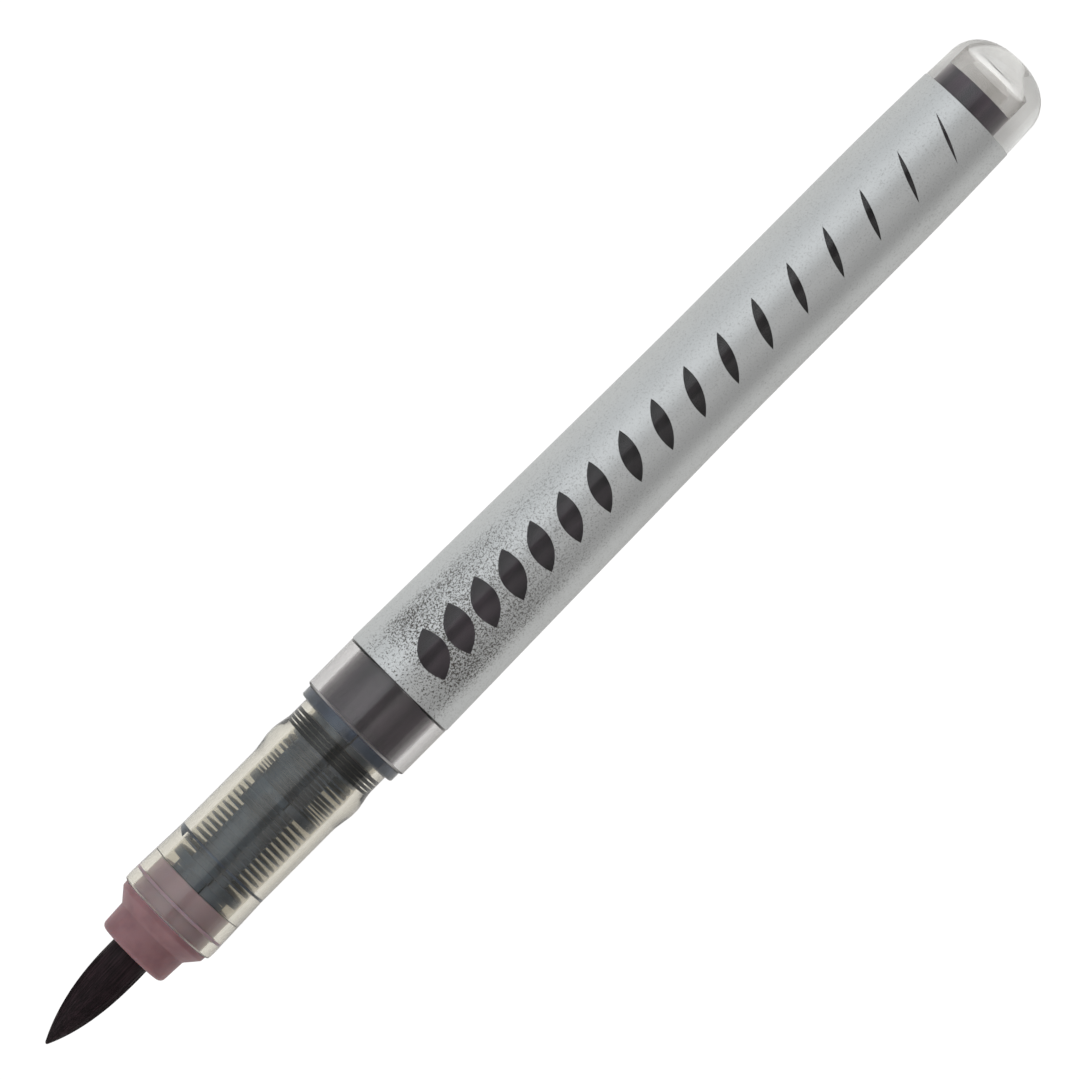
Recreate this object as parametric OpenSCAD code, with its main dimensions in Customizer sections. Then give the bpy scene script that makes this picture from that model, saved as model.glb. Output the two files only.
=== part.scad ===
// Free-ink brush marker for calligraphy, without its cap, lying on its side.
// The pen's axis runs along X, from the point of the brush at -X to the closed tail at +X.
// Z is up, and the pen rests on the plane Z = 0. Profiles are drawn as [radius, distance from
// the point of the brush] and turned about the pen's axis. Units are millimetres.

/* [Pen] */
// Length from the point of the brush to the end of the tail
pen_len = 138.4; // [136:0.2:142]

/* [Barrel] */
// Radius of the barrel at its open front end
barrel_front_r = 6.57; // [6.5:0.01:6.7]
// Radius of the middle of the barrel
barrel_mid_r = 5.93; // [5.85:0.01:6.1]
// Radius of the barrel where the rounded tail begins
barrel_tail_r = 5.6; // [5.5:0.01:5.8]
// Distance from the point of the brush to the barrel's front face
barrel_x = 44.1; // [44.1:0.1:44.4]
// Depth of the counterbore that takes the grip's spigot
socket_depth = 6.3; // [6.2:0.1:6.6]
// Radius of that counterbore
socket_r = 5.3; // [5.3:0.01:5.4]
// Radius of the ink bore at its front
bore_front_r = 3.3; // [3.1:0.05:3.35]
// Radius of the ink bore at its closed end
bore_end_r = 2.73; // [2.6:0.01:2.8]
// Thickness of the closed end
end_wall = 2.9; // [2.5:0.1:3.2]
// Sideways lean of the long core, at the closed end
core_lean = 0.5; // [0:0.1:0.6]
// How far the ink stops short of the bore's closed end
air_gap = 2.2; // [1:0.1:40]

/* [Label] */
// Thickness of the silver film
label_t = 0.05; // [0.04:0.01:0.08]
// Clear length of barrel in front of the label
label_inset = 6.4; // [6.3:0.1:8]
// Clear length of barrel behind the label
label_clear = 7.6; // [7:0.1:9]
// Number of stroke windows in the label
stroke_count = 17; // [8:1:18]
// Width of the broadest stroke window
stroke_broad = 3.1; // [2:0.1:3.3]
// Width of the finest stroke window
stroke_fine = 0.35; // [0.3:0.05:0.8]
// Height of a stroke window around the barrel
stroke_height = 5.6; // [4:0.1:7]

/* [Grip] */
// Radius of the grip tube
grip_r = 5.6; // [5.55:0.01:5.65]
// Radius of the grip's front end
grip_front_r = 5.84; // [5.8:0.01:5.9]
// Radius of the bead that the cap clicks over
bead_r = 5.95; // [5.9:0.01:6]
// Radius of the flange that the cap's mouth seats on
flange_r = 6.25; // [6.2:0.01:6.3]
// Width of that flange
flange_w = 1.2; // [1:0.1:1.4]
// Radius of the bore that holds the regulator
chamber_r = 4.5; // [4.45:0.01:4.55]

/* [Nib] */
// Length of brush that stands out of its holder
brush_len = 12.4; // [11:0.1:13]
// Radius of the brush where it leaves the holder
brush_r = 2.3; // [2:0.05:2.4]
// Distance from the point of the brush to the middle of its bend
flex_x = 8.6; // [8:0.1:9]
// Greatest bend of the brush to either side, in degrees
flex_deg = 35; // [20:1:40]

/* [Regulator] */
// Radius of the capillary fins
fin_r = 4.35; // [4.2:0.01:4.4]
// Radius of the core between the fins
core_r = 2.1; // [1.9:0.05:2.5]
// Number of broad fins behind the vent disc
broad_fins = 11; // [8:1:11]
// Number of fine fins in front of the seal
fine_fins = 9; // [6:1:9]

/* [Hidden] */

$fn = 96;
fit = 0.03;             // radial and end clearance between pieces that touch
slack = 0.05;           // larger clearance, where one piece slides in another
axis_h = barrel_front_r + fit / 3 + label_t;

// Barrel
socket_end = barrel_x + socket_depth;
straight_end = barrel_x + label_inset;        // the barrel is a true cylinder up to here
taper_end = straight_end + 44.5;
tail_start = pen_len - 21.4;
dome_start = pen_len - 4.4;
dome_power = 2.25;      // squareness of the rounded tail
bore_end = pen_len - end_wall;
lean_deg = atan(core_lean / (bore_end - socket_end));
ink_end = bore_end - air_gap;

// Label
label_x0 = straight_end;
label_x1 = pen_len - label_clear;
seam_w = 0.2;
stroke_x0 = label_x0 + 4.6;
stroke_x1 = label_x1 - 3.4;
stroke_slant = 22;
stroke_crowding = 0.22; // how much closer the broad strokes stand
stroke_shift = -0.3;

// Grip housing
grip_x0 = 17.4;
bead_x0 = 36.2;
neck_x0 = 39.9;
chamber_end = 44.1;
neck_r = grip_r - fit;
spigot_r = socket_r - fit;
spigot_bore = 3.4;
spigot_end = socket_end - 0.1;

// Nib holder
holder_sleeve_r = 4.72;
holder_end = 21.6;
snap_x = 19;
snap_w = 0.4;
snap_r = 4.95;
stem_stop = 19;         // where the thick part of the brush ends
locating_r = 3.3;       // boss of the regulator in the back of the holder
locating_x = 20.6;

// Feed
wick_r = 1.2;
tail_x = 26.2;          // back end of the brush's thin tail
wick_end = 47;

// Regulator and seal
fin_w = 0.4;
broad_pitch = 0.68;
fine_w = 0.28;
fine_pitch = 0.5;
seal_x0 = neck_x0 + fit;
seal_x1 = 42;
spindle_r = 2;
vent_slot_w = 0.32;
vent_slot_angle = 8;
lug_w = 0.9;
lug_angle = 18;         // above the pen's side
rib_x = 31.4;           // where the stiffening rib beside the core begins
rib_offset = 1.15;
rear_disc_x = 42.9;     // disc that closes the back of the chamber

// Brush
tip_r = 0.12;
brush_power = 2.67;
seat_r = brush_radius(flex_x);

// Radius of the brush at a distance x from its point
function brush_radius(x) = tip_r + (brush_r - tip_r) * (1 - pow(1 - min(x, brush_len) / brush_len, brush_power));

// Radius of the outside of the barrel at x, in front of the rounded tail
function barrel_radius(x) =
    x <= straight_end ? barrel_front_r :
    x <= taper_end ? barrel_mid_r + (barrel_front_r - barrel_mid_r) * pow((taper_end - x) / (taper_end - straight_end), 1.2) :
    x <= tail_start ? barrel_mid_r :
    barrel_mid_r - (barrel_mid_r - barrel_tail_r) * pow((x - tail_start) / (dome_start - tail_start), 2);

// Places along the barrel where its outline turns, between x0 and x1
function stations(x0, x1) = [x0, for (k = [1:6]) if (turn_at(k) > x0 && turn_at(k) < x1) turn_at(k),
                             for (k = [0:4]) if (tail_at(k) > x0 && tail_at(k) < x1) tail_at(k), x1];
function turn_at(k) = straight_end + (taper_end - straight_end) * k / 6;
function tail_at(k) = tail_start + (dome_start - tail_start) * k / 4;

function unit(v) = v / norm(v);

// Polygon points with rounded corners. Each corner is [radius, distance, corner radius].
function rounded(corners, steps = 4) = [
    for (i = [0:len(corners) - 1])
        let (last = len(corners) - 1, c = corners[i], p = [c[0], c[1]],
             a = corners[i == 0 ? last : i - 1], b = corners[i == last ? 0 : i + 1],
             u = unit([a[0], a[1]] - p), v = unit([b[0], b[1]] - p),
             half = acos(u * v) / 2, sweep = 180 - 2 * half)
            each c[2] == 0 ? [p] :
                let (centre = p + unit(u + v) * c[2] / sin(half),
                     s = p + u * c[2] / tan(half) - centre, e = p + v * c[2] / tan(half) - centre)
                    [for (k = [0:steps]) centre + (s * sin(sweep * (1 - k / steps)) + e * sin(sweep * k / steps)) / sin(sweep)]
];

// Lays the pen down: children use X from the point of the brush, with the pen's axis at Z = 0
module lying() {
    translate([-pen_len / 2, 0, axis_h]) children();
}

// Turns a profile of [radius, distance] about the pen's axis
module turned(points) {
    rotate([0, 90, 0]) rotate_extrude() polygon(points);
}

// A plain cylinder on the pen's axis
module rod(r, x0, x1) {
    translate([x0, 0, 0]) rotate([0, 90, 0]) cylinder(r = r, h = x1 - x0);
}

// Clear thick-walled barrel with a rounded closed tail
module barrel() {
    dome = [for (k = [0:13])
        let (a = 90 * k / 13)
            [barrel_tail_r * pow(cos(a), 2 / dome_power), dome_start + (pen_len - dome_start) * pow(sin(a), 2 / dome_power)]];
    outline = concat(
        rounded([[0, socket_end, 0], [socket_r, socket_end, 0.2], [socket_r, barrel_x, 0.15],
                 [barrel_front_r, barrel_x, 0.3], [barrel_front_r, straight_end, 0]]),
        [for (x = stations(straight_end, dome_start)) if (x > straight_end && x < dome_start) [barrel_radius(x), x]],
        dome);
    color("gainsboro", 0.5) lying() difference() {
        turned(outline);
        leaned() turned(bore(bore_end, 0));
    }
}

// Turns the ink bore about the bottom of the socket by the lean of the core
module leaned() {
    translate([socket_end, 0, 0]) rotate([0, 0, lean_deg]) translate([-socket_end, 0, 0]) children();
}

// Profile of the ink bore up to x_end, smaller by the gap
function bore(x_end, gap) =
    let (full = bore_end - socket_end, r_end = bore_front_r + (bore_end_r - bore_front_r) * (x_end - socket_end) / full)
        rounded([[0, socket_end - 0.2, 0], [bore_front_r - gap, socket_end - 0.2, 0],
                 [r_end - gap, x_end, 1.1], [0, x_end, 0]]);

// Ink that fills the bore and the spigot, with a hollow for the wick's end
module ink_charge() {
    color("#352c30") lying() difference() {
        union() {
            rod(spigot_bore - fit, chamber_end + fit, socket_end - 0.05);
            leaned() turned([[0, socket_end - 0.2], [bore_front_r - fit, socket_end - 0.2],
                             [bore_end_r + (bore_front_r - bore_end_r) * air_gap / (bore_end - socket_end) - fit, ink_end],
                             [0, ink_end]]);
        }
        rod(wick_r + slack, chamber_end - 1, wick_end + slack);
    }
}

// Silver film wrapped round the barrel, with a seam below and stroke-shaped windows above
module label() {
    places = stations(label_x0, label_x1);
    under = fit / 3;
    color("silver") lying() difference() {
        turned(concat([for (x = places) [barrel_radius(x) + under + label_t, x]],
                      [for (i = [len(places) - 1:-1:0]) [barrel_radius(places[i]) + under, places[i]]]));
        translate([label_x0 - 1, -seam_w / 2, -barrel_front_r - 1]) cube([label_x1 - label_x0 + 2, seam_w, 3]);
        stroke_windows();
    }
}

// A row of leaf-shaped strokes that run from broad to fine
module stroke_windows() {
    for (k = [0:stroke_count - 1]) {
        share = k / (stroke_count - 1);
        width = stroke_broad + (stroke_fine - stroke_broad) * share;
        x = stroke_x0 + (stroke_x1 - stroke_x0) * share * (1 - stroke_crowding * (1 - share));
        translate([x, stroke_shift, 0]) rotate([0, 0, -stroke_slant])
            linear_extrude(height = barrel_front_r + 1) leaf(width, stroke_height);
    }
}

// The overlap of two circles: width across, height from point to point
module leaf(width, height) {
    r = (width * width + height * height) / (4 * width);
    intersection() {
        translate([r - width / 2, 0]) circle(r = r);
        translate([width / 2 - r, 0]) circle(r = r);
    }
}

// Clear grip tube with a cap bead, a flange and a spigot that plugs into the barrel
module grip_housing() {
    flange_x0 = barrel_x - fit - flange_w;
    outline = rounded([
        [holder_sleeve_r + slack, grip_x0, 0.1], [grip_front_r - 0.03, grip_x0, 0.3],
        [grip_front_r, grip_x0 + 0.9, 0], [grip_front_r - 0.02, grip_x0 + 1.8, 0], [grip_r + 0.1, 22.4, 0],
        [grip_r, 25.2, 0], [grip_r, bead_x0, 0.6],
        [bead_r, bead_x0 + 1.2, 0.8], [bead_r, neck_x0 - 1.2, 0.8],
        [neck_r, neck_x0, 0.4], [neck_r, flange_x0, 0.1],
        [flange_r, flange_x0, 0.2], [flange_r, barrel_x - fit, 0.05], [spigot_r, barrel_x - fit, 0],
        [spigot_r, spigot_end, 0.3], [spigot_bore, spigot_end, 0.1], [spigot_bore, chamber_end, 0.1],
        [chamber_r, chamber_end, 0], [chamber_r, holder_end + slack * 2, 0.05],
        [holder_sleeve_r + slack, holder_end + slack * 2, 0]]);
    color("wheat", 0.5) lying() difference() {
        turned(outline);
        rod(snap_r + slack, snap_x - slack, snap_x + snap_w + slack);
    }
}

// Stepped holder that grips the brush and snaps into the front of the grip
module nib_holder() {
    front = brush_len;
    outline = rounded([
        [brush_r + slack, front, 0.15], [4.12, front, 0.6], [4.27, 15.4, 0.25],
        [5.46, 16.8, 0.35], [5.5, grip_x0 - fit, 0], [holder_sleeve_r, grip_x0 - fit, 0],
        [holder_sleeve_r, snap_x, 0], [snap_r, snap_x + 0.1, 0], [snap_r, snap_x + snap_w - 0.1, 0],
        [holder_sleeve_r, snap_x + snap_w, 0], [holder_sleeve_r, holder_end, 0.15],
        [locating_r + slack, holder_end, 0.1], [locating_r + slack, locating_x - slack, 0],
        [wick_r + slack, locating_x - slack, 0], [wick_r + slack, stem_stop + fit, 0],
        [brush_r + slack, stem_stop + fit, 0]]);
    color("rosybrown") lying() difference() {
        turned(outline);
        for (a = [60, 180, 300])
            rotate([a, 0, 0]) translate([front - 1, -0.25, 0]) cube([stem_stop - front + 1, 0.5, brush_r + 0.35]);
    }
}

// A disc of the regulator, between two places along the pen
module plate(r, x, w) {
    rod(r, x, x + w);
}

// Comb of capillary fins on a hollow core, with a vent disc and a slot along it
module regulator() {
    ring_a = 22.8;
    disc_x = 25.15;
    broad_x0 = 25.95;
    ring_b = broad_x0 + broad_fins * broad_pitch + 0.1;
    fine_x0 = ring_b + 1.25;
    collar_x = seal_x1 + fit;
    color("slategray") lying() difference() {
        union() {
            rod(locating_r, locating_x, ring_a + 0.1);
            plate(fin_r - 0.05, ring_a, 1);
            rod(core_r, ring_a + 0.9, neck_x0 - 0.2);
            translate([0, rib_offset, 0]) rod(core_r, rib_x, neck_x0 - 0.2);
            plate(fin_r, 24.3, 0.45);
            plate(chamber_r - fit / 3, disc_x, 0.3);
            for (k = [0:broad_fins - 1]) plate(fin_r, broad_x0 + k * broad_pitch, fin_w);
            plate(fin_r - 0.05, ring_b, 1);
            for (k = [0:fine_fins - 1]) plate(fin_r, fine_x0 + k * fine_pitch, fine_w);
            plate(fin_r, neck_x0 - 0.4, 0.4);
            rod(spindle_r, neck_x0 - 0.1, chamber_end - 0.1);
            plate(fin_r - 0.3, collar_x, rear_disc_x + 0.1 - collar_x);
            plate(chamber_r - fit / 3, rear_disc_x, chamber_end - fit - rear_disc_x);
            vent_lug(disc_x);
        }
        rod(wick_r + slack, locating_x - 1, chamber_end + 1);
        rotate([vent_slot_angle, 0, 0]) translate([locating_x - 1, -vent_slot_w / 2, core_r - 0.5])
            cube([ring_b + 2.15 - locating_x, vent_slot_w, chamber_r]);
    }
}

// Tapered lug that braces the vent disc on one side
module vent_lug(disc_x) {
    top = fin_r - 0.05;
    foot = core_r - 0.3;
    rotate([lug_angle, 0, 0]) translate([disc_x - 0.7, 0, -lug_w / 2]) linear_extrude(height = lug_w)
        polygon([[0, foot], [0, top - 0.5], [0.6, top], [0.8, top], [0.8, foot]]);
}

// Ribbed rubber ring that keeps the reservoir's ink out of the regulator's chamber
module reservoir_seal() {
    ribs = 4;
    pitch = (seal_x1 - seal_x0 - 0.3) / (ribs - 1);
    color("#24282b") lying() difference() {
        union() {
            rod(chamber_r - 0.2, seal_x0, seal_x1);
            for (k = [0:ribs - 1]) plate(chamber_r - fit / 3, seal_x0 + k * pitch, 0.3);
        }
        rod(spindle_r + fit / 3, seal_x0 - 1, seal_x1 + 1);
    }
}

// Fibre rod that carries ink through the regulator to the brush
module feed_wick() {
    color("#4a4045") lying() turned(rounded([
        [0, tail_x + slack, 0], [wick_r, tail_x + slack, 0.15], [wick_r, wick_end, 0.3], [0, wick_end, 0]]));
}

// Back of the brush: its round stem in the holder and the thin tail that meets the wick
module brush_stem() {
    side = [for (k = [0:4]) let (x = flex_x + (brush_len - flex_x) * k / 4) [brush_radius(x), x]];
    rest = rounded([[brush_r, brush_len + 0.1, 0], [brush_r, stem_stop, 0.2], [wick_r, stem_stop, 0],
                    [wick_r, tail_x, 0.2], [0, tail_x, 0]]);
    color("#241a1e") lying() rotate([0, 90, 0]) rotate_extrude() {
        polygon(concat([[0, flex_x]], side, rest));
        intersection() {
            translate([0, flex_x]) circle(r = seat_r);
            translate([0, flex_x - seat_r]) square(seat_r);
        }
    }
}

// Flexible front of the brush, whose cup turns about the domed end of the stem
module brush_point() {
    open = 90 - flex_deg - 0.5;         // the point keeps inside this angle, so that it can turn
    edge_x = cone_meets_brush(0, flex_x, open);
    side = [for (k = [0:14]) let (x = edge_x * pow(k / 14, 1.3)) [brush_radius(x), x]];
    color("#241a1e") lying() rotate([0, 90, 0]) rotate_extrude() difference() {
        polygon(concat([[0, 0]], side, [[0, flex_x]]));
        translate([0, flex_x]) circle(r = seat_r + slack);
    }
}

// Distance at which a cone that opens towards the point from flex_x meets the brush, by halving
function cone_meets_brush(lo, hi, angle, n = 24) =
    let (mid = (lo + hi) / 2)
        n == 0 ? mid :
        brush_radius(mid) < (flex_x - mid) * tan(angle) ? cone_meets_brush(mid, hi, angle, n - 1) :
        cone_meets_brush(lo, mid, angle, n - 1);

barrel();
ink_charge();
label();
grip_housing();
nib_holder();
regulator();
reservoir_seal();
feed_wick();
brush_stem();
brush_point();
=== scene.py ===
"""Looks of a free-ink brush marker for calligraphy, lying on its side without its cap.

The pen's axis runs along X, from the point of the brush at -X to the closed tail at +X. Sizes are in
millimetres, and places along the pen are counted from the point of the brush; PenAxis turns both into
the row frame's metres.
"""

import logging
import math
import random
from collections.abc import Callable, Sequence
from dataclasses import dataclass, field
from functools import cache

import bmesh
import bpy
from mathutils import Matrix, Vector

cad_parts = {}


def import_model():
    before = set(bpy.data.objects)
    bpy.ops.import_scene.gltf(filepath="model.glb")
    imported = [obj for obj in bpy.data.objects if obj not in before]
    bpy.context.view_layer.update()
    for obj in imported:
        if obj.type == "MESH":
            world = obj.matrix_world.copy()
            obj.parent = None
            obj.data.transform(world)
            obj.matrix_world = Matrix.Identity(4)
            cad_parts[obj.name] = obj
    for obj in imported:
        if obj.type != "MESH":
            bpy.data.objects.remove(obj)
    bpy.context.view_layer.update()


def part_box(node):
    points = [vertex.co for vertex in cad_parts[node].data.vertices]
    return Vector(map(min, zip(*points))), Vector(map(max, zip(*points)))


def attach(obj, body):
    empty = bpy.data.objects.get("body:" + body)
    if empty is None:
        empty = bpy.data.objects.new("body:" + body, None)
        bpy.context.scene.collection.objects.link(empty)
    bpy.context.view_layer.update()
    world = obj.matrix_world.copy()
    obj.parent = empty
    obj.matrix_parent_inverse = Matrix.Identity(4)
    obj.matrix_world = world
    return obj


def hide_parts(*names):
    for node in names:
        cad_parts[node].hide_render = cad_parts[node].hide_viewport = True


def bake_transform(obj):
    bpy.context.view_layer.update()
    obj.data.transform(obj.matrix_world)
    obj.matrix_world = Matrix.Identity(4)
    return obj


LOG = logging.getLogger("brush_marker")
MM = 0.001
FULL_TURN = 2 * math.pi
SMOOTH_ANGLE = math.radians(32)
TINY = 1e-6  # a radius or a sine below this counts as nothing
LONG_STRAIGHT = 0.3  # length from which a straight gets supporting rings
SUPPORT = 0.04  # distance of a supporting ring from the straight's end
CONTACT = 0.02  # how far a wet or pressed surface is let into a clear wall, so that no air shows between
WALL_STEPS = 192  # steps round a clear wall and the film on it
INNER_STEPS = 112  # steps round a piece that is seen through a wall
PLAIN_STEPS = 144  # steps round any other piece
INSIDE = 0.98  # share of a slot's half width within which a point is cut

Colour = tuple[float, float, float]


def from_hex(code: str) -> Colour:
    """Turns a six-digit sRGB code into a linear colour.

    Args:
        code: Six hexadecimal digits.

    Returns:
        Red, green and blue in linear light.
    """
    shares = [int(code[i : i + 2], 16) / 255 for i in (0, 2, 4)]
    return tuple(s / 12.92 if s <= 0.04045 else ((s + 0.055) / 1.055) ** 2.4 for s in shares)


# ---------------------------------------------------------------- frame


@dataclass(frozen=True)
class PenAxis:
    """The pen's own axis in the row frame.

    Attributes:
        start: Row X of the brush's point, in metres.
        height: Row Z of the axis, in metres.
    """

    start: float
    height: float

    @classmethod
    def from_frame(cls) -> "PenAxis":
        """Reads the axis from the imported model."""
        low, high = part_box("nib_holder")
        return cls(start=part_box("brush_point")[0].x, height=(low.z + high.z) / 2)

    def place(self, along: float, across: float = 0.0, above: float = 0.0) -> Vector:
        """Gives a point of the row frame.

        Args:
            along: Distance from the brush's point.
            across: Distance from the axis towards +Y.
            above: Distance from the axis towards +Z.

        Returns:
            The point, in metres.
        """
        return Vector((self.start + along * MM, across * MM, self.height + above * MM))

    def span(self, node: str) -> tuple[float, float]:
        """Gives where a CAD node starts and ends along the pen."""
        low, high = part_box(node)
        return (low.x - self.start) / MM, (high.x - self.start) / MM

    def radius(self, node: str) -> float:
        """Gives the largest radius of a round CAD node."""
        low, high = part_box(node)
        return (high.y - low.y) / 2 / MM


# ---------------------------------------------------------------- turned pieces


@dataclass(frozen=True)
class Ring:
    """One circle of a turned piece.

    Attributes:
        radius: Radius of the circle, or 0 for a pole.
        along: Its place along the pen.
        shift: How far its centre is from the axis, towards +Y.
    """

    radius: float
    along: float
    shift: float = 0.0


@dataclass(frozen=True)
class Corner:
    """A corner of an outline.

    Attributes:
        radius: Its distance from the pen's axis.
        along: Its place along the pen.
        fillet: Radius of the arc that rounds it.
    """

    radius: float
    along: float
    fillet: float = 0.0


def rounded(corners: Sequence[Corner], steps: int = 6, closed: bool = True) -> list[Ring]:
    """Turns corners into rings, with an arc at each corner that has a fillet.

    Args:
        corners: The outline's corners in order.
        steps: Number of stretches in each arc.
        closed: Whether the last corner is joined to the first.

    Returns:
        The rings in order.
    """
    rings: list[Ring] = []
    count = len(corners)
    for i, corner in enumerate(corners):
        here = Vector((corner.radius, corner.along))
        at_end = not closed and i in (0, count - 1)
        if corner.fillet == 0 or at_end:
            rings.append(Ring(*here))
            continue
        before, after = corners[i - 1], corners[(i + 1) % count]
        u = (Vector((before.radius, before.along)) - here).normalized()
        v = (Vector((after.radius, after.along)) - here).normalized()
        half = u.angle(v) / 2
        centre = here + (u + v).normalized() * corner.fillet / math.sin(half)
        reach = corner.fillet / math.tan(half)
        s, e = here + u * reach - centre, here + v * reach - centre
        sweep = math.pi - 2 * half
        for k in range(steps + 1):
            share = k / steps
            p = (s * math.sin(sweep * (1 - share)) + e * math.sin(sweep * share)) / math.sin(sweep)
            rings.append(Ring(*(centre + p)))
    return supported(rings, closed)


def supported(rings: Sequence[Ring], closed: bool) -> list[Ring]:
    """Adds a ring close to each end of every long straight, so that a fillet's shading stays in the fillet.

    Args:
        rings: The outline's rings in order.
        closed: Whether the last ring is joined to the first.

    Returns:
        The rings with the added ones among them.
    """
    full: list[Ring] = []
    for i, ring in enumerate(rings):
        full.append(ring)
        if i + 1 == len(rings) and not closed:
            break
        here = Vector((ring.radius, ring.along))
        after = rings[(i + 1) % len(rings)]
        step = Vector((after.radius, after.along)) - here
        if step.length > LONG_STRAIGHT:
            near = step.normalized() * SUPPORT
            full += [Ring(*(here + near)), Ring(*(here + step - near))]
    return full


def even_angles(count: int, edges: Sequence[float] = ()) -> list[float]:
    """Gives angles round the pen, from +Z towards +Y.

    Args:
        count: Number of even steps in a full turn.
        edges: Further angles, such as the two sides of a slot.

    Returns:
        The angles in order.
    """
    even = [FULL_TURN * k / count for k in range(count)]
    near = FULL_TURN / count / 4
    kept = [a for a in even if all(abs(a - e) > near for e in edges)]
    return sorted(kept + [e % FULL_TURN for e in edges])


Profile = Callable[[Ring, float], float]


def turned(
    name: str,
    axis: PenAxis,
    rings: Sequence[Ring],
    closed: bool = True,
    angles: Sequence[float] | None = None,
    radius_at: Profile | None = None,
) -> bpy.types.Object:
    """Turns rings about the pen's axis into a closed mesh.

    Args:
        name: Name of the new object.
        axis: The pen's axis.
        rings: The outline in order. Rings of no radius are poles.
        closed: Whether the last ring joins the first.
        angles: Angles at which the circles have points.
        radius_at: Gives a ring's radius at an angle, where a piece isn't quite round.

    Returns:
        The new object, in place in the row frame.
    """
    angles = list(angles or even_angles(PLAIN_STEPS))
    mesh = bmesh.new()
    loops: list[list[bmesh.types.BMVert]] = []
    for ring in rings:
        if ring.radius < TINY:
            loops.append([mesh.verts.new(axis.place(ring.along, ring.shift))])
            continue
        loop = []
        for angle in angles:
            r = radius_at(ring, angle) if radius_at else ring.radius
            place = axis.place(ring.along, r * math.sin(angle) + ring.shift, r * math.cos(angle))
            loop.append(mesh.verts.new(place))
        loops.append(loop)
    pairs = list(zip(loops, loops[1:])) + ([(loops[-1], loops[0])] if closed else [])
    for a, b in pairs:
        for k in range(len(angles)):
            n = (k + 1) % len(angles)
            corners = [a[k % len(a)], a[n % len(a)], b[n % len(b)], b[k % len(b)]]
            unique = list(dict.fromkeys(corners))
            if len(unique) > 2:
                mesh.faces.new(unique)
    if mesh.calc_volume(signed=True) < 0:
        bmesh.ops.reverse_faces(mesh, faces=mesh.faces)
    return finished(name, mesh)


def linked(name: str, data: bpy.types.ID) -> bpy.types.Object:
    """Makes an object of a mesh, a lamp or a camera.

    Args:
        name: Name of the new object.
        data: What the object shows.

    Returns:
        The new object, linked to the scene.
    """
    made = bpy.data.objects.new(name, data)
    bpy.context.scene.collection.objects.link(made)
    return made


def finished(name: str, mesh: bmesh.types.BMesh) -> bpy.types.Object:
    """Makes a smooth object of a mesh, with sharp edges kept.

    Args:
        name: Name of the new object.
        mesh: The mesh, which is freed.

    Returns:
        The new object, linked to the scene.
    """
    data = bpy.data.meshes.new(name)
    mesh.to_mesh(data)
    mesh.free()
    data.shade_smooth()
    data.set_sharp_from_angle(angle=SMOOTH_ANGLE)
    return linked(name, data)


def joined(name: str, parts: Sequence[bpy.types.Object]) -> bpy.types.Object:
    """Joins objects into one and gives it a name.

    Args:
        name: Name of the joined object.
        parts: Mesh objects, which are used up.

    Returns:
        The joined object.
    """
    first = parts[0]
    with bpy.context.temp_override(active_object=first, selected_editable_objects=list(parts)):
        bpy.ops.object.join()
    first.name = first.data.name = name
    return first


def adopt(piece: bpy.types.Object, body: str, slot: str, *nodes: str) -> None:
    """Makes a piece move with a CAD body and stand for CAD nodes.

    Args:
        piece: The finished piece.
        body: The CAD body that it rides on.
        slot: Name of the piece's material slot; not used.
        nodes: The CAD nodes that it replaces.
    """
    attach(piece, body)
    if nodes:
        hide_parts(*nodes)
    LOG.info("%s rides on %s, %d faces", piece.name, body, len(piece.data.polygons))


# ---------------------------------------------------------------- node trees


class Value:
    """A number in a node tree, which Python's operators work on.

    Attributes:
        graph: The tree that it is in.
        socket: The output socket that gives it.
    """

    def __init__(self, graph: "Graph", socket: bpy.types.NodeSocket) -> None:
        """Wraps an output socket."""
        self.graph = graph
        self.socket = socket

    def _math(self, operation: str, *others: "Value | float", clamp: bool = False) -> "Value":
        """Adds a Math node with this value first."""
        return self.graph.math(operation, self, *others, clamp=clamp)

    def __add__(self, other: "Value | float") -> "Value":
        """Adds."""
        return self._math("ADD", other)

    def __radd__(self, other: float) -> "Value":
        """Adds to a number."""
        return self._math("ADD", other)

    def __sub__(self, other: "Value | float") -> "Value":
        """Subtracts."""
        return self._math("SUBTRACT", other)

    def __rsub__(self, other: float) -> "Value":
        """Subtracts this value from a number."""
        return self.graph.math("SUBTRACT", other, self)

    def __mul__(self, other: "Value | float") -> "Value":
        """Multiplies."""
        return self._math("MULTIPLY", other)

    def __rmul__(self, other: float) -> "Value":
        """Multiplies a number."""
        return self._math("MULTIPLY", other)

    def __truediv__(self, other: "Value | float") -> "Value":
        """Divides."""
        return self._math("DIVIDE", other)

    def __pow__(self, other: "Value | float") -> "Value":
        """Raises to a power."""
        return self._math("POWER", other)

    def at_least(self, floor: "Value | float") -> "Value":
        """The larger of this value and another."""
        return self._math("MAXIMUM", floor)

    def held(self) -> "Value":
        """This value, kept between 0 and 1."""
        return self._math("ADD", 0.0, clamp=True)

    def ramp(self, low: float, high: float) -> "Value":
        """Rises smoothly from 0 at low to 1 at high.

        Args:
            low: Value at which the ramp starts.
            high: Value at which it ends, which may be below low.

        Returns:
            The ramp.
        """
        share = ((self - low) / (high - low)).held()
        return share * share * (3.0 - 2.0 * share)


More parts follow.
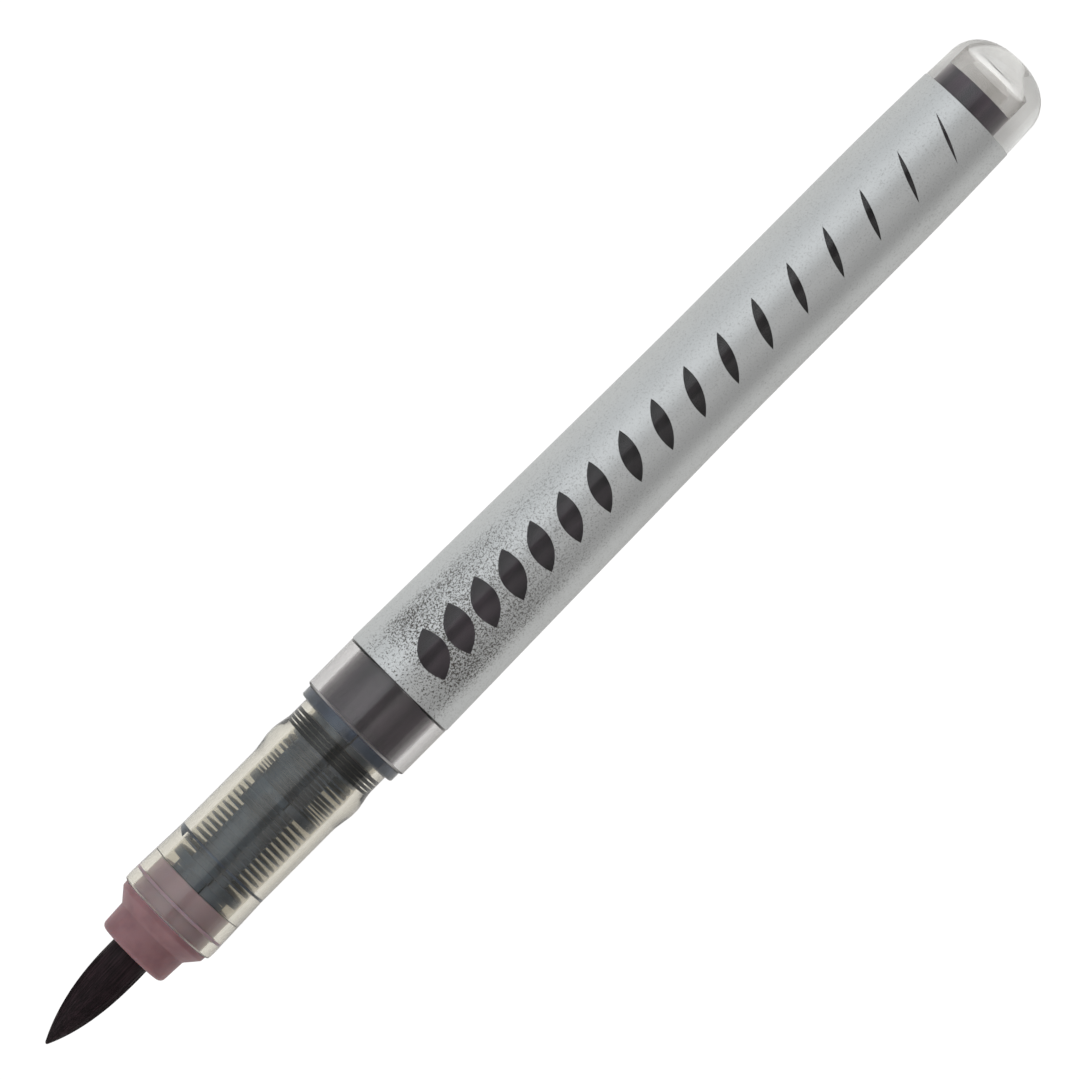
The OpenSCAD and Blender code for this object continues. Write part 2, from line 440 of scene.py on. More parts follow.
class Graph:
    """Adds nodes to one node tree.

    Attributes:
        tree: The node tree.
    """

    def __init__(self, tree: bpy.types.NodeTree) -> None:
        """Takes up a node tree."""
        self.tree = tree

    def node(
        self,
        kind: str,
        settings: dict[str, object] | None = None,
        sockets: dict[str | int, object] | None = None,
    ) -> bpy.types.Node:
        """Adds one node.

        Args:
            kind: Blender's name for the node type.
            settings: The node's own settings, which are made first.
            sockets: Values or links, by input name or index.

        Returns:
            The new node.
        """
        made = self.tree.nodes.new(kind)
        for key, setting in (settings or {}).items():
            setattr(made, key, setting)
        for key, given in (sockets or {}).items():
            self.feed(made.inputs[key], given)
        return made

    def feed(self, socket: bpy.types.NodeSocket, given: object) -> None:
        """Links a value or a socket to an input, or sets the input's number.

        Args:
            socket: The input.
            given: A value, a socket, a number, a colour or a name.
        """
        if isinstance(given, Value):
            given = given.socket
        if isinstance(given, bpy.types.NodeSocket):
            self.tree.links.new(given, socket)
        elif isinstance(given, tuple) and len(given) == 3 and socket.type == "RGBA":
            socket.default_value = (*given, 1.0)
        else:
            socket.default_value = given

    def math(self, operation: str, *values: Value | float, clamp: bool = False) -> Value:
        """Adds a Math node.

        Args:
            operation: The node's operation.
            values: Its inputs in order.
            clamp: Whether the result is kept between 0 and 1.

        Returns:
            The result.
        """
        settings = {"operation": operation, "use_clamp": clamp}
        made = self.node("ShaderNodeMath", settings, dict(enumerate(values)))
        return Value(self, made.outputs[0])

    def mix(self, share: Value | float, a: object, b: object) -> bpy.types.NodeSocket:
        """Mixes two colours.

        Args:
            share: 0 gives the first and 1 the second.
            a: First colour or link.
            b: Second colour or link.

        Returns:
            The mixed colour's socket.
        """
        made = self.node("ShaderNodeMix", {"data_type": "RGBA"})
        for identifier, given in (("Factor_Float", share), ("A_Color", a), ("B_Color", b)):
            self.feed(next(s for s in made.inputs if s.identifier == identifier), given)
        return next(s for s in made.outputs if s.identifier == "Result_Color")

    def noise(
        self, vector: bpy.types.NodeSocket, scale: float, detail: float = 3.0, roughness: float = 0.5
    ) -> Value:
        """Adds a Noise Texture.

        Args:
            vector: Where it is read.
            scale: Waves per metre of the vector.
            detail: Number of finer layers.
            roughness: Strength of the finer layers.

        Returns:
            The noise, around 0.5.
        """
        sockets = {"Vector": vector, "Scale": scale, "Detail": detail, "Roughness": roughness}
        return Value(self, self.node("ShaderNodeTexNoise", None, sockets).outputs["Fac"])

    def bump(self, height: Value, distance: float, strength: float) -> bpy.types.NodeSocket:
        """Adds a Bump node and gives its normal.

        Args:
            height: The pattern's height, from 0 to 1.
            distance: Its depth in metres.
            strength: How much of it is used.

        Returns:
            The normal's socket.
        """
        sockets = {"Height": height, "Distance": distance, "Strength": strength}
        return self.node("ShaderNodeBump", None, sockets).outputs["Normal"]


class Surface(Graph):
    """A material's nodes around one Principled shader.

    Attributes:
        material: The material.
        output: Its output node.
        shader: Its Principled shader.
        place: Socket of the piece's own coordinates.
        x: The first of them, along the pen.
        y: The second, across the pen.
        z: The third, above the table.
    """

    def __init__(self, name: str) -> None:
        """Makes a material with a plain shader.

        Args:
            name: The material's name.
        """
        self.material = bpy.data.materials.new(name)
        self.material.use_nodes = True
        self.material.node_tree.nodes.clear()
        super().__init__(self.material.node_tree)
        self.output = self.node("ShaderNodeOutputMaterial")
        self.shader = self.node("ShaderNodeBsdfPrincipled")
        self.tree.links.new(self.shader.outputs[0], self.output.inputs["Surface"])
        self.place = self.node("ShaderNodeTexCoord").outputs["Object"]
        split = self.node("ShaderNodeSeparateXYZ", None, {0: self.place})
        self.x, self.y, self.z = (Value(self, split.outputs[i]) for i in range(3))

    def set(self, **sockets: object) -> None:
        """Feeds the Principled shader's sockets, with underscores for spaces."""
        for key, given in sockets.items():
            self.feed(self.shader.inputs[key.replace("_", " ")], given)

    def stretched(self, scale: tuple[float, float, float]) -> bpy.types.NodeSocket:
        """The object's coordinates, stretched along each axis."""
        sockets = {"Vector": self.place, "Scale": Vector(scale)}
        return self.node("ShaderNodeMapping", None, sockets).outputs[0]

    def let_lamps_through(self, tint: Colour) -> None:
        """Lets light that is on its way to a surface behind pass this one.

        Args:
            tint: The colour that the light takes on.
        """
        passing = self.node("ShaderNodeBsdfTransparent", None, {"Color": tint})
        lamp = self.node("ShaderNodeLightPath").outputs["Is Shadow Ray"]
        mixed = self.node("ShaderNodeMixShader", None, {0: lamp})
        self.tree.links.new(self.shader.outputs[0], mixed.inputs[1])
        self.tree.links.new(passing.outputs[0], mixed.inputs[2])
        self.tree.links.new(mixed.outputs[0], self.output.inputs["Surface"])


class Shaper(Graph):
    """A Geometry Nodes tree with named inputs, made for one piece.

    Attributes:
        keys: The identifier of each input, by name.
        entry: The tree's input node.
        exit: Its output node.
    """

    def __init__(self, name: str) -> None:
        """Makes a tree that takes a mesh in and gives one out.

        Args:
            name: The tree's name.
        """
        super().__init__(bpy.data.node_groups.new(name, "GeometryNodeTree"))
        self.keys: dict[str, str] = {}
        for side in ("INPUT", "OUTPUT"):
            self.tree.interface.new_socket("Geometry", in_out=side, socket_type="NodeSocketGeometry")
        self.entry = self.node("NodeGroupInput")
        self.exit = self.node("NodeGroupOutput")

    def input(self, name: str, kind: str = "Float") -> Value:
        """Adds a named input.

        Args:
            name: The input's name.
            kind: Its kind, such as Float, Int, Object or Material.

        Returns:
            The input as a value.
        """
        item = self.tree.interface.new_socket(name, in_out="INPUT", socket_type=f"NodeSocket{kind}")
        self.keys[name] = item.identifier
        return Value(self, next(s for s in self.entry.outputs if s.identifier == item.identifier))

    def vector(self, x: Value | float, y: Value | float, z: Value | float) -> bpy.types.NodeSocket:
        """Joins three numbers into a vector."""
        return self.node("ShaderNodeCombineXYZ", None, {0: x, 1: y, 2: z}).outputs[0]

    def finish(self, geometry: bpy.types.NodeSocket, material: Value) -> None:
        """Ends the tree with real geometry that has a material.

        Args:
            geometry: The finished geometry, which may hold instances.
            material: The tree's material input.
        """
        real = self.node("GeometryNodeRealizeInstances", None, {0: geometry}).outputs[0]
        painted = self.node("GeometryNodeSetMaterial", None, {"Geometry": real, "Material": material})
        self.tree.links.new(painted.outputs[0], self.exit.inputs[0])

    def run(self, name: str, base: bpy.types.Object, values: dict[str, object]) -> bpy.types.Object:
        """Runs the tree on an object and gives the result as a plain mesh.

        Args:
            name: Name of the new object.
            base: Object that the tree starts from, which is removed.
            values: The tree's inputs by name.

        Returns:
            The new object.
        """
        modifier = base.modifiers.new(name, "NODES")
        modifier.node_group = self.tree
        for key, given in values.items():
            modifier[self.keys[key]] = given
        bpy.context.view_layer.update()
        graph = bpy.context.evaluated_depsgraph_get()
        data = bpy.data.meshes.new_from_object(base.evaluated_get(graph), depsgraph=graph)
        base.modifiers.remove(modifier)
        bpy.data.objects.remove(base)
        data.name = name
        return linked(name, data)


# ---------------------------------------------------------------- finishes


@dataclass(frozen=True)
class Finish:
    """A finish that a piece can be dressed in.

    Attributes:
        name: The material's name.
    """

    name: str

    def surface(self) -> Surface:
        """Builds the material's nodes."""
        raise NotImplementedError

    @cache
    def material(self) -> bpy.types.Material:
        """Gives the material, which is built once."""
        return self.surface().material

    def dress(self, piece: bpy.types.Object) -> None:
        """Puts the finish on a whole piece."""
        piece.data.materials.clear()
        piece.data.materials.append(self.material())


@dataclass(frozen=True)
class ClearPlastic(Finish):
    """Polished clear moulding, with faint flow marks and handling haze.

    Attributes:
        tint: Colour of a thick wall.
        stained: Colour where ink has stained it.
        stain_from: Row X where the stain begins to fade, in metres.
        stain_to: Row X where it has gone, in metres.
        lamp_tint: Colour that passing light takes on.
        rim_end: Row X where the ground rim at the front end stops, in metres.
        polish: Roughness where the surface is cleanest.
        haze: Further roughness where it is handled.
        ground: Further roughness of the ground rim.
        rim_fade: Length over which the ground rim fades, in metres.
    """

    tint: Colour
    stained: Colour
    stain_from: float
    stain_to: float
    lamp_tint: Colour
    rim_end: float
    polish: float = 0.015
    haze: float = 0.05
    ground: float = 0.5
    rim_fade: float = 0.0001

    def surface(self) -> Surface:
        """Builds a clear shader with a hazy roughness and a faint flow bump.

        Returns:
            The material's nodes.
        """
        s = Surface(self.name)
        cloud = s.noise(s.place, scale=260.0, detail=4.0)
        flow = s.noise(s.stretched((60.0, 420.0, 420.0)), scale=1.0, detail=2.0)
        rim = s.x.ramp(self.rim_end, self.rim_end - self.rim_fade)
        s.set(
            Base_Color=s.mix(s.x.ramp(self.stain_from, self.stain_to), self.stained, self.tint),
            Transmission_Weight=1.0,
            IOR=1.49,
            Roughness=self.polish + self.haze * cloud.ramp(0.42, 0.72) + self.ground * rim,
            Normal=s.bump(flow, distance=0.00002, strength=0.25),
        )
        s.let_lamps_through(self.lamp_tint)
        return s


@dataclass(frozen=True)
class Ink(Finish):
    """Ink seen through the wall that it wets, with faint streaks along the pen.

    Attributes:
        deep: Colour where the ink is thickest.
        thin: Colour of its paler streaks.
    """

    deep: Colour
    thin: Colour

    def surface(self) -> Surface:
        """Builds a shader with the faint gloss that wet ink has where it meets a wall.

        Returns:
            The material's nodes.
        """
        s = Surface(self.name)
        streaks = s.noise(s.stretched((30.0, 700.0, 700.0)), scale=1.0, detail=3.0)
        clouds = s.noise(s.place, scale=120.0, detail=2.0)
        share = (streaks.ramp(0.35, 0.7) * 0.7 + clouds.ramp(0.4, 0.7) * 0.5).held()
        s.set(
            Base_Color=s.mix(share, self.deep, self.thin),
            Roughness=0.28,
            IOR=1.33,
            Sheen_Weight=1.0,
            Sheen_Roughness=0.45,
            Sheen_Tint=(1.0, 0.95, 0.95),
        )
        return s


@dataclass(frozen=True)
class Murk(Finish):
    """A see-through film of drying ink.

    Attributes:
        colour: Colour of the film.
        cover: How much of what is behind it each face hides.
    """

    colour: Colour
    cover: float

    def surface(self) -> Surface:
        """Builds a thin matt shader with a patchy cover.

        Returns:
            The material's nodes.
        """
        s = Surface(self.name)
        patches = s.noise(s.place, scale=420.0, detail=3.0)
        s.set(
            Base_Color=self.colour,
            Roughness=0.8,
            Specular_IOR_Level=0.05,
            Alpha=self.cover * (0.75 + 0.5 * patches),
        )
        return s


@dataclass(frozen=True)
class SilverFilm(Finish):
    """Satin silver film with a dark grain that thins out towards the tail.

    Attributes:
        silver: Colour of the film.
        grain: Colour of its dark grains.
        grain_from: Row X where the grain is strongest, in metres.
        grain_to: Row X where it has thinned out, in metres.
        height: Row Z of the pen's axis, in metres.
        radius: Radius of the film, in metres.
    """

    silver: Colour
    grain: Colour
    grain_from: float
    grain_to: float
    height: float
    radius: float

    def surface(self) -> Surface:
        """Builds a metallic shader with fine grains and a soft cloudiness.

        Returns:
            The material's nodes.
        """
        s = Surface(self.name)
        fine = s.noise(s.place, scale=7800.0, detail=1.0)
        coarse = s.noise(s.place, scale=4600.0, detail=2.0, roughness=0.6)
        patches = s.noise(s.place, scale=160.0, detail=3.0)
        fade = s.x.ramp(self.grain_to, self.grain_from)
        front = s.x.ramp(self.grain_from - 0.002, self.grain_from + 0.004)
        upward = ((s.z - self.height) / self.radius).ramp(0.50, 0.76)
        fade = fade * upward
        density = 0.02 + 0.09 * fade * front + 0.05 * patches
        grains = (coarse * 0.55 + fine * 0.45 + density).ramp(0.56, 0.72)
        tarnish = (0.10 * patches + 0.08 * coarse).held()
        plain = s.mix(tarnish, self.silver, self.grain)
        s.set(
            Base_Color=s.mix(grains * (0.25 + 0.75 * fade), plain, self.grain),
            Metallic=0.82 - 0.35 * grains,
            Roughness=0.38 + 0.10 * coarse + 0.12 * grains,
            Normal=s.bump(fine * 0.5 + coarse * 0.5, distance=0.00003, strength=0.35),
        )
        return s


@dataclass(frozen=True)
class WaxyPlastic(Finish):
    """Mauve-brown moulding that light enters a little.

    Attributes:
        light: Colour of the thin parts.
        dark: Colour of the ink-stained parts.
        inside_unstained_lightened: Colour of the part that the housing shelters, unstained and painted
            lighter and bluer to make up for the light that the beige housing holds back.
        shelter: Row X where the housing begins, in metres.
    """

    light: Colour
    dark: Colour
    inside_unstained_lightened: Colour
    shelter: float

    def surface(self) -> Surface:
        """Builds a shader with light under its surface, soft stains, and painted light on the part inside
        the housing.

        Returns:
            The material's nodes.
        """
        s = Surface(self.name)
        stain = s.noise(s.place, scale=420.0, detail=3.0)
        grain = s.noise(s.place, scale=5200.0, detail=2.0)
        share = 0.65 * stain.ramp(0.34, 0.70)
        # painted light: inside the housing the colour is unstained and lighter, making up for the light that
        # the beige housing holds back
        inside = s.x.ramp(self.shelter - 0.0002, self.shelter + 0.0002)
        s.set(
            Base_Color=s.mix(inside, s.mix(share, self.light, self.dark), self.inside_unstained_lightened),
            Roughness=0.34 + 0.14 * grain,
            Subsurface_Weight=0.35,
            Subsurface_Scale=0.0009,
            Specular_IOR_Level=0.25,
            Normal=s.bump(grain, distance=0.00002, strength=0.25),
        )
        return s


@dataclass(frozen=True)
class WettedPlastic(Finish):
    """Blue-grey moulding with ink drying on its rims, and painted light near its core that cancels the shade
    between the fins.

    Attributes:
        painted_light_core: Colour of the core, painted lighter to cancel the shade in the grooves between
            the fins.
        wet: Colour of the inked rims.
        height: Row Z of the pen's axis, in metres.
        core: Radius of the core, in metres.
        rim: Radius of the rims, in metres.
    """

    painted_light_core: Colour
    wet: Colour
    height: float
    core: float
    rim: float

    def surface(self) -> Surface:
        """Builds a shader that is darker and glossier where ink wets it, and lighter near the core as
        painted light.

        Returns:
            The material's nodes.
        """
        s = Surface(self.name)
        patches = s.noise(s.place, scale=330.0, detail=3.0)
        streaks = s.noise(s.stretched((90.0, 900.0, 900.0)), scale=1.0, detail=2.0)
        up = s.z - self.height
        out = s.math("SQRT", s.y * s.y + up * up)
        blots = (patches.ramp(0.40, 0.62) * 0.6 + streaks.ramp(0.45, 0.7) * 0.4) * 0.35
        # painted light: the colour grows lighter towards the core, cancelling the shade between the fins;
        # the blots are ink
        wet = (0.75 * out.ramp(self.core, self.rim) + blots).held()
        s.set(
            Base_Color=s.mix(wet, self.painted_light_core, self.wet),
            Roughness=0.50 - 0.22 * wet,
            Specular_IOR_Level=0.3,
            Normal=s.bump(patches, distance=0.00004, strength=0.3),
        )
        return s


@dataclass(frozen=True)
class WetRubber(Finish):
    """Black rubber that stands in ink.

    Attributes:
        colour: Colour of the rubber.
        lift: How much paler its grain is.
    """

    colour: Colour
    lift: float = 2.2

    def surface(self) -> Surface:
        """Builds a dark shader with a fine grain.

        Returns:
            The material's nodes.
        """
        s = Surface(self.name)
        grain = s.noise(s.place, scale=2600.0, detail=3.0)
        lifted = tuple(self.lift * c for c in self.colour)
        s.set(
            Base_Color=s.mix(grain.ramp(0.4, 0.7), self.colour, lifted),
            Roughness=0.35 + 0.2 * grain,
            Specular_IOR_Level=0.1,
            Normal=s.bump(grain, distance=0.00002, strength=0.3),
        )
        return s


@dataclass(frozen=True)
class InkedFibre(Finish):
    """Fine fibres bonded side by side and soaked with ink.

    Attributes:
        shade: Colour in the grooves.
        crest: Colour on the crests.
        gloss: Roughness of the wet crests.
    """

    shade: Colour
    crest: Colour
    gloss: float = 0.42

    def surface(self) -> Surface:
        """Builds a shader with fine streaks along the pen.

        Returns:
            The material's nodes.
        """
        s = Surface(self.name)
        strands = s.noise(s.stretched((260.0, 7000.0, 7000.0)), scale=1.0, detail=2.0)
        tone = s.noise(s.place, scale=500.0, detail=2.0)
        share = (strands.ramp(0.42, 0.68) * 0.75 + tone.ramp(0.4, 0.7) * 0.25).held()
        s.set(
            Base_Color=s.mix(share, self.shade, self.crest),
            Roughness=self.gloss + 0.25 * (1.0 - strands),
            Specular_IOR_Level=0.16,
            Normal=s.bump(strands, distance=0.00006, strength=0.6),
        )
        return s


@dataclass(frozen=True)
class Paper(Finish):
    """Matt paper that may glow, as a lit backdrop does.

    Attributes:
        paint: Colour of the paper.
        light: Colour of its glow.
        glow: Strength of its glow.
        mottle: How much paler its mottle is.
    """

    paint: Colour
    light: Colour
    glow: float
    mottle: float = 1.04

    def surface(self) -> Surface:
        """Builds a matt shader with a faint mottle.

        Returns:
            The material's nodes.
        """
        s = Surface(self.name)
        cloud = s.noise(s.place, scale=90.0, detail=4.0)
        pale = tuple(min(1.0, self.mottle * c) for c in self.paint)
        s.set(
            Base_Color=s.mix(cloud, self.paint, pale),
            Roughness=0.9,
            Specular_IOR_Level=0.1,
            Emission_Color=self.light,
            Emission_Strength=self.glow,
        )
        return s


# ---------------------------------------------------------------- barrel


@dataclass
class Barrel:
    """The clear thick-walled barrel, the ink in it and the silver film round it.

    Attributes:
        axis: The pen's axis.
        clear: Finish of the wall.
        ink: Finish of the ink.
        murk: Finish of the residue.
        silver: Finish of the label.
        middle_r: Radius of the middle of the barrel.
        tail_r: Radius where the rounded tail begins.
        straight: Length of the plain band at the front.
        taper: Length over which the barrel tapers.
        tail: Length of the closing curve in front of the dome.
        dome: Length of the dome.
        squareness: How square the dome is.
        socket_r: Radius of the counterbore for the grip's spigot.
        socket: Depth of that counterbore.
        bore_front_r: Radius of the ink bore at its front.
        bore_end_r: Radius of the ink bore at its end.
        end_wall: Thickness of the closed end.
        lean: Sideways lean of the bore at its closed end.
        spigot_bore: Radius of the ink way through the grip's spigot.
        ink_step: Gap between the ink in the spigot and the counterbore's bottom.
        meniscus: Depth of the ink's hollow surface at the air bubble.
        clean_end: Length of wall without residue at the bore's closed end.
        film: Thickness of the label.
        seam: Width of the label's seam.
        strokes: Number of stroke windows.
        broad: Width of the broadest stroke.
        fine: Width of the finest stroke.
        stroke_height: Length of a stroke round the barrel.
        stroke_slant: Slant of the strokes, in degrees.
        stroke_shift: How far the strokes' middle is from the pen's top.
        crowding: How much closer the broad strokes stand.
        margin_front: Plain film in front of the first stroke.
        margin_back: Plain film behind the last one.
        front: Place of the barrel's front face.
        end: Place of its closed end.
        front_r: Radius of the plain band at the front.
    """

    axis: PenAxis
    clear: ClearPlastic
    ink: Ink
    murk: Murk
    silver: SilverFilm
    middle_r: float = 5.93
    tail_r: float = 5.6
    straight: float = 6.4
    taper: float = 44.5
    tail: float = 17.0
    dome: float = 4.4
    squareness: float = 2.25
    socket_r: float = 5.3
    socket: float = 6.3
    bore_front_r: float = 3.3
    bore_end_r: float = 2.73
    end_wall: float = 2.9
    lean: float = 0.5
    spigot_bore: float = 3.4
    ink_step: float = 0.05
    meniscus: float = 0.35
    clean_end: float = 0.4
    film: float = 0.05
    seam: float = 0.2
    strokes: int = 17
    broad: float = 3.1
    fine: float = 0.35
    stroke_height: float = 5.6
    stroke_slant: float = 22.0
    stroke_shift: float = -0.3
    crowding: float = 0.22
    margin_front: float = 4.6
    margin_back: float = 3.4
    front: float = field(init=False)
    end: float = field(init=False)
    front_r: float = field(init=False)

    def __post_init__(self) -> None:
        """Reads the barrel's place and size from the frame."""
        self.front, self.end = self.axis.span("barrel")
        self.front_r = self.axis.radius("barrel")

    @property
    def socket_end(self) -> float:
        """Place of the counterbore's bottom."""
        return self.front + self.socket

    @property
    def bore_end(self) -> float:
        """Place of the ink bore's closed end."""
        return self.end - self.end_wall

    def outer_radius(self, along: float) -> float:
        """Gives the radius of the barrel's outside, in front of the dome.

        Args:
            along: Place along the pen.

        Returns:
            The radius.
        """
        straight_end = self.front + self.straight
        taper_end = straight_end + self.taper
        tail_start = self.end - self.dome - self.tail
        if along <= straight_end:
            return self.front_r
        if along <= taper_end:
            share = (taper_end - along) / self.taper
            return self.middle_r + (self.front_r - self.middle_r) * share**1.2
        share = max(0.0, (along - tail_start) / self.tail)
        return self.middle_r - (self.middle_r - self.tail_r) * share**2

    def stations(self, low: float, high: float, step: float = 2.0) -> list[float]:
        """Gives evenly spaced places from low to high."""
        count = max(1, round((high - low) / step))
        return [low + (high - low) * k / count for k in range(count + 1)]

    def lean_at(self, along: float) -> float:
        """Gives how far the bore's centre is off the axis at a place."""
        return self.lean * (along - self.socket_end) / (self.bore_end - self.socket_end)

    def bore_radius(self, along: float) -> float:
        """Gives the radius of the ink bore at a place."""
        share = (along - self.socket_end) / (self.bore_end - self.socket_end)
        return self.bore_front_r + (self.bore_end_r - self.bore_front_r) * share

    def leaned(self, rings: Sequence[Ring]) -> list[Ring]:
        """Shifts rings sideways, so that they follow the leaning bore."""
        return [Ring(r.radius, r.along, self.lean_at(r.along)) for r in rings]

    def wall(self) -> bpy.types.Object:
        """Builds the clear barrel.

        Returns:
            The barrel, from its front face to its closed tail.
        """
        straight_end = self.front + self.straight
        dome_start = self.end - self.dome
        bore = rounded(
            [
                Corner(0, self.bore_end),
                Corner(self.bore_end_r, self.bore_end, 1.1),
                Corner(self.bore_front_r, self.socket_end),
            ],
            steps=8,
            closed=False,
        )
        lip = rounded(
            [
                Corner(self.bore_front_r, self.socket_end),
                Corner(self.socket_r, self.socket_end, 0.2),
                Corner(self.socket_r, self.front, 0.15),
                Corner(self.front_r, self.front, 0.3),
                Corner(self.front_r, straight_end),
            ],
            closed=False,
        )
        side = [Ring(self.outer_radius(x), x) for x in self.stations(straight_end, dome_start)]
        dome, steps, power = [], 24, 2 / self.squareness
        for k in range(1, steps + 1):
            angle = math.pi / 2 * k / steps
            r = self.tail_r * math.cos(angle) ** power if k < steps else 0.0
            dome.append(Ring(r, dome_start + self.dome * math.sin(angle) ** power))
        rings = self.leaned(bore) + lip[1:-1] + side + dome
        piece = turned("barrel_wall", self.axis, rings, closed=False, angles=even_angles(WALL_STEPS))
        self.clear.dress(piece)
        adopt(piece, "barrel_body", "clear_barrel", "barrel")
        return piece

    def ink_charge(self) -> bpy.types.Object:
        """Builds the ink, which wets the bore up to its curved surface at the air bubble.

        Returns:
            The ink.
        """
        start, end = self.axis.span("ink_charge")
        way = self.spigot_bore + CONTACT
        front = [Ring(0, start), Ring(way, start), Ring(way, self.socket_end - self.ink_step)]
        places = self.stations(self.socket_end, end, step=6.0)
        side = [Ring(self.bore_radius(x) + CONTACT, x) for x in places]
        rim = self.bore_radius(end)
        shares = (0.97, 0.9, 0.78, 0.6, 0.35, 0)
        hollow = [Ring(rim * c, end - self.meniscus * (1 - c * c)) for c in shares]
        rings = front + self.leaned(side + hollow)
        piece = turned("ink_charge_shown", self.axis, rings, closed=False, angles=even_angles(128))
        self.ink.dress(piece)
        adopt(piece, "barrel_body", "ink", "ink_charge")
        return piece

    def residue(self) -> bpy.types.Object:
        """Builds the thin murky film that ink has left on the wall of the air bubble.

        Returns:
            The film.
        """
        start, end = self.axis.span("ink_charge")[1], self.bore_end - self.clean_end
        low, high = CONTACT / 2, 2 * CONTACT
        outer = [Corner(self.bore_radius(x) + high, x) for x in (start, end)]
        inner = [Corner(self.bore_radius(x) + low, x) for x in (end, start)]
        rings = rounded(outer, 8, closed=False) + rounded(inner, 8, closed=False)
        piece = turned("ink_residue", self.axis, self.leaned(rings), angles=even_angles(96))
        self.murk.dress(piece)
        adopt(piece, "barrel_body", "ink")
        return piece

    def stroke_block(self) -> bpy.types.Object:
        """Builds one leaf-shaped cutter, 1 mm wide and 1 mm high, for the tree to place.

        Returns:
            The cutter, which two arcs that cross at the leaf's points bound.
        """
        arc, half, steps = 1.25, 0.5, 16
        mesh = bmesh.new()
        sweep = math.asin(half / arc)
        belly = arc - math.sqrt(arc * arc - half * half)
        outline = []
        for side in (1, -1):
            for k in range(steps):
                a = side * sweep * (1 - 2 * k / steps)
                bulge = (arc * math.cos(a) - arc + belly) / belly / 2
                outline.append((side * bulge, arc * math.sin(a)))
        lower = [mesh.verts.new((x * MM, y * MM, 0)) for x, y in outline]
        upper = [mesh.verts.new((x * MM, y * MM, MM)) for x, y in outline]
        mesh.faces.new(lower)
        mesh.faces.new(upper)
        for k in range(len(outline)):
            n = (k + 1) % len(outline)
            mesh.faces.new((lower[k], lower[n], upper[n], upper[k]))
        bmesh.ops.recalc_face_normals(mesh, faces=mesh.faces)
        return finished("stroke_cutter", mesh)

    def windows(self) -> Shaper:
        """Builds the tree that cuts a row of strokes, broad to fine, and the seam out of the film.

        Returns:
            The tree.
        """
        g = Shaper("stroke_windows")
        leaf, count = g.input("Stroke", "Object"), g.input("Count", "Int")
        first, last = g.input("First"), g.input("Last")
        broad, fine, height = g.input("Broad"), g.input("Fine"), g.input("Height")
        slant, crowding, shift = g.input("Slant"), g.input("Crowding"), g.input("Shift")
        axis_height, seam, seam_length = g.input("Axis height"), g.input("Seam"), g.input("Seam length")
        material = g.input("Material", "Material")
        tall = 9.0  # a stroke's cutter is this many millimetres high, so that it goes through the film
        deep, drop = 1.6, -0.2  # the seam's cutter, in shares of the axis's height
        line = g.node("GeometryNodeMeshLine", None, {"Count": count})
        index = Value(g, g.node("GeometryNodeInputIndex").outputs[0])
        share = index / (count - 1.0)
        x = first + (last - first) * share * (1.0 - crowding * (1.0 - share))
        sockets = {"Geometry": line.outputs[0], "Position": g.vector(x, shift, axis_height)}
        placed = g.node("GeometryNodeSetPosition", None, sockets)
        shape = g.node("GeometryNodeObjectInfo", None, {"Object": leaf})
        strokes = g.node(
            "GeometryNodeInstanceOnPoints",
            None,
            {
                "Points": placed.outputs[0],
                "Instance": shape.outputs["Geometry"],
                "Rotation": g.vector(0.0, 0.0, slant * -1.0),
                "Scale": g.vector(broad + (fine - broad) * share, height, tall),
            },
        )
        size = g.vector(seam_length, seam, axis_height * deep)
        block = g.node("GeometryNodeMeshCube", None, {"Size": size})
        middle = (first + last) / 2.0
        sockets = {"Geometry": block.outputs[0], "Translation": g.vector(middle, 0.0, axis_height * drop)}
        slit = g.node("GeometryNodeTransform", None, sockets)
        cutters = g.node("GeometryNodeJoinGeometry")
        for part in (strokes, slit):
            g.tree.links.new(part.outputs[0], cutters.inputs[0])
        solid = g.node("GeometryNodeRealizeInstances", None, {0: cutters.outputs[0]})
        cut = g.node("GeometryNodeMeshBoolean", {"operation": "DIFFERENCE", "solver": "EXACT"})
        g.tree.links.new(g.entry.outputs[0], cut.inputs[0])
        g.tree.links.new(solid.outputs[0], cut.inputs[1])
        g.finish(cut.outputs[0], material)
        return g

    def label(self) -> bpy.types.Object:
        """Builds the silver film with its windows.

        Returns:
            The film.
        """
        start, end = self.axis.span("label")
        places = self.stations(start, end)
        under, over = self.film / 5, self.film / 5 + self.film
        outside = [Ring(self.outer_radius(x) + over, x) for x in places]
        inside = [Ring(self.outer_radius(x) + under, x) for x in reversed(places)]
        tube = turned("film_tube", self.axis, outside + inside, angles=even_angles(WALL_STEPS))
        cutter = self.stroke_block()
        piece = self.windows().run(
            "silver_label",
            tube,
            {
                "Stroke": cutter,
                "Count": self.strokes,
                "First": self.axis.place(start + self.margin_front).x,
                "Last": self.axis.place(end - self.margin_back).x,
                "Broad": self.broad,
                "Fine": self.fine,
                "Height": self.stroke_height,
                "Slant": math.radians(self.stroke_slant),
                "Crowding": self.crowding,
                "Shift": self.stroke_shift * MM,
                "Axis height": self.axis.height,
                "Seam": self.seam * MM,
                "Seam length": 2 * (end - start) * MM,
                "Material": self.silver.material(),
            },
        )
        bpy.data.objects.remove(cutter)
        self.round_off(piece)
        self.silver.dress(piece)
        adopt(piece, "barrel_body", "silver_film", "label")
        return piece

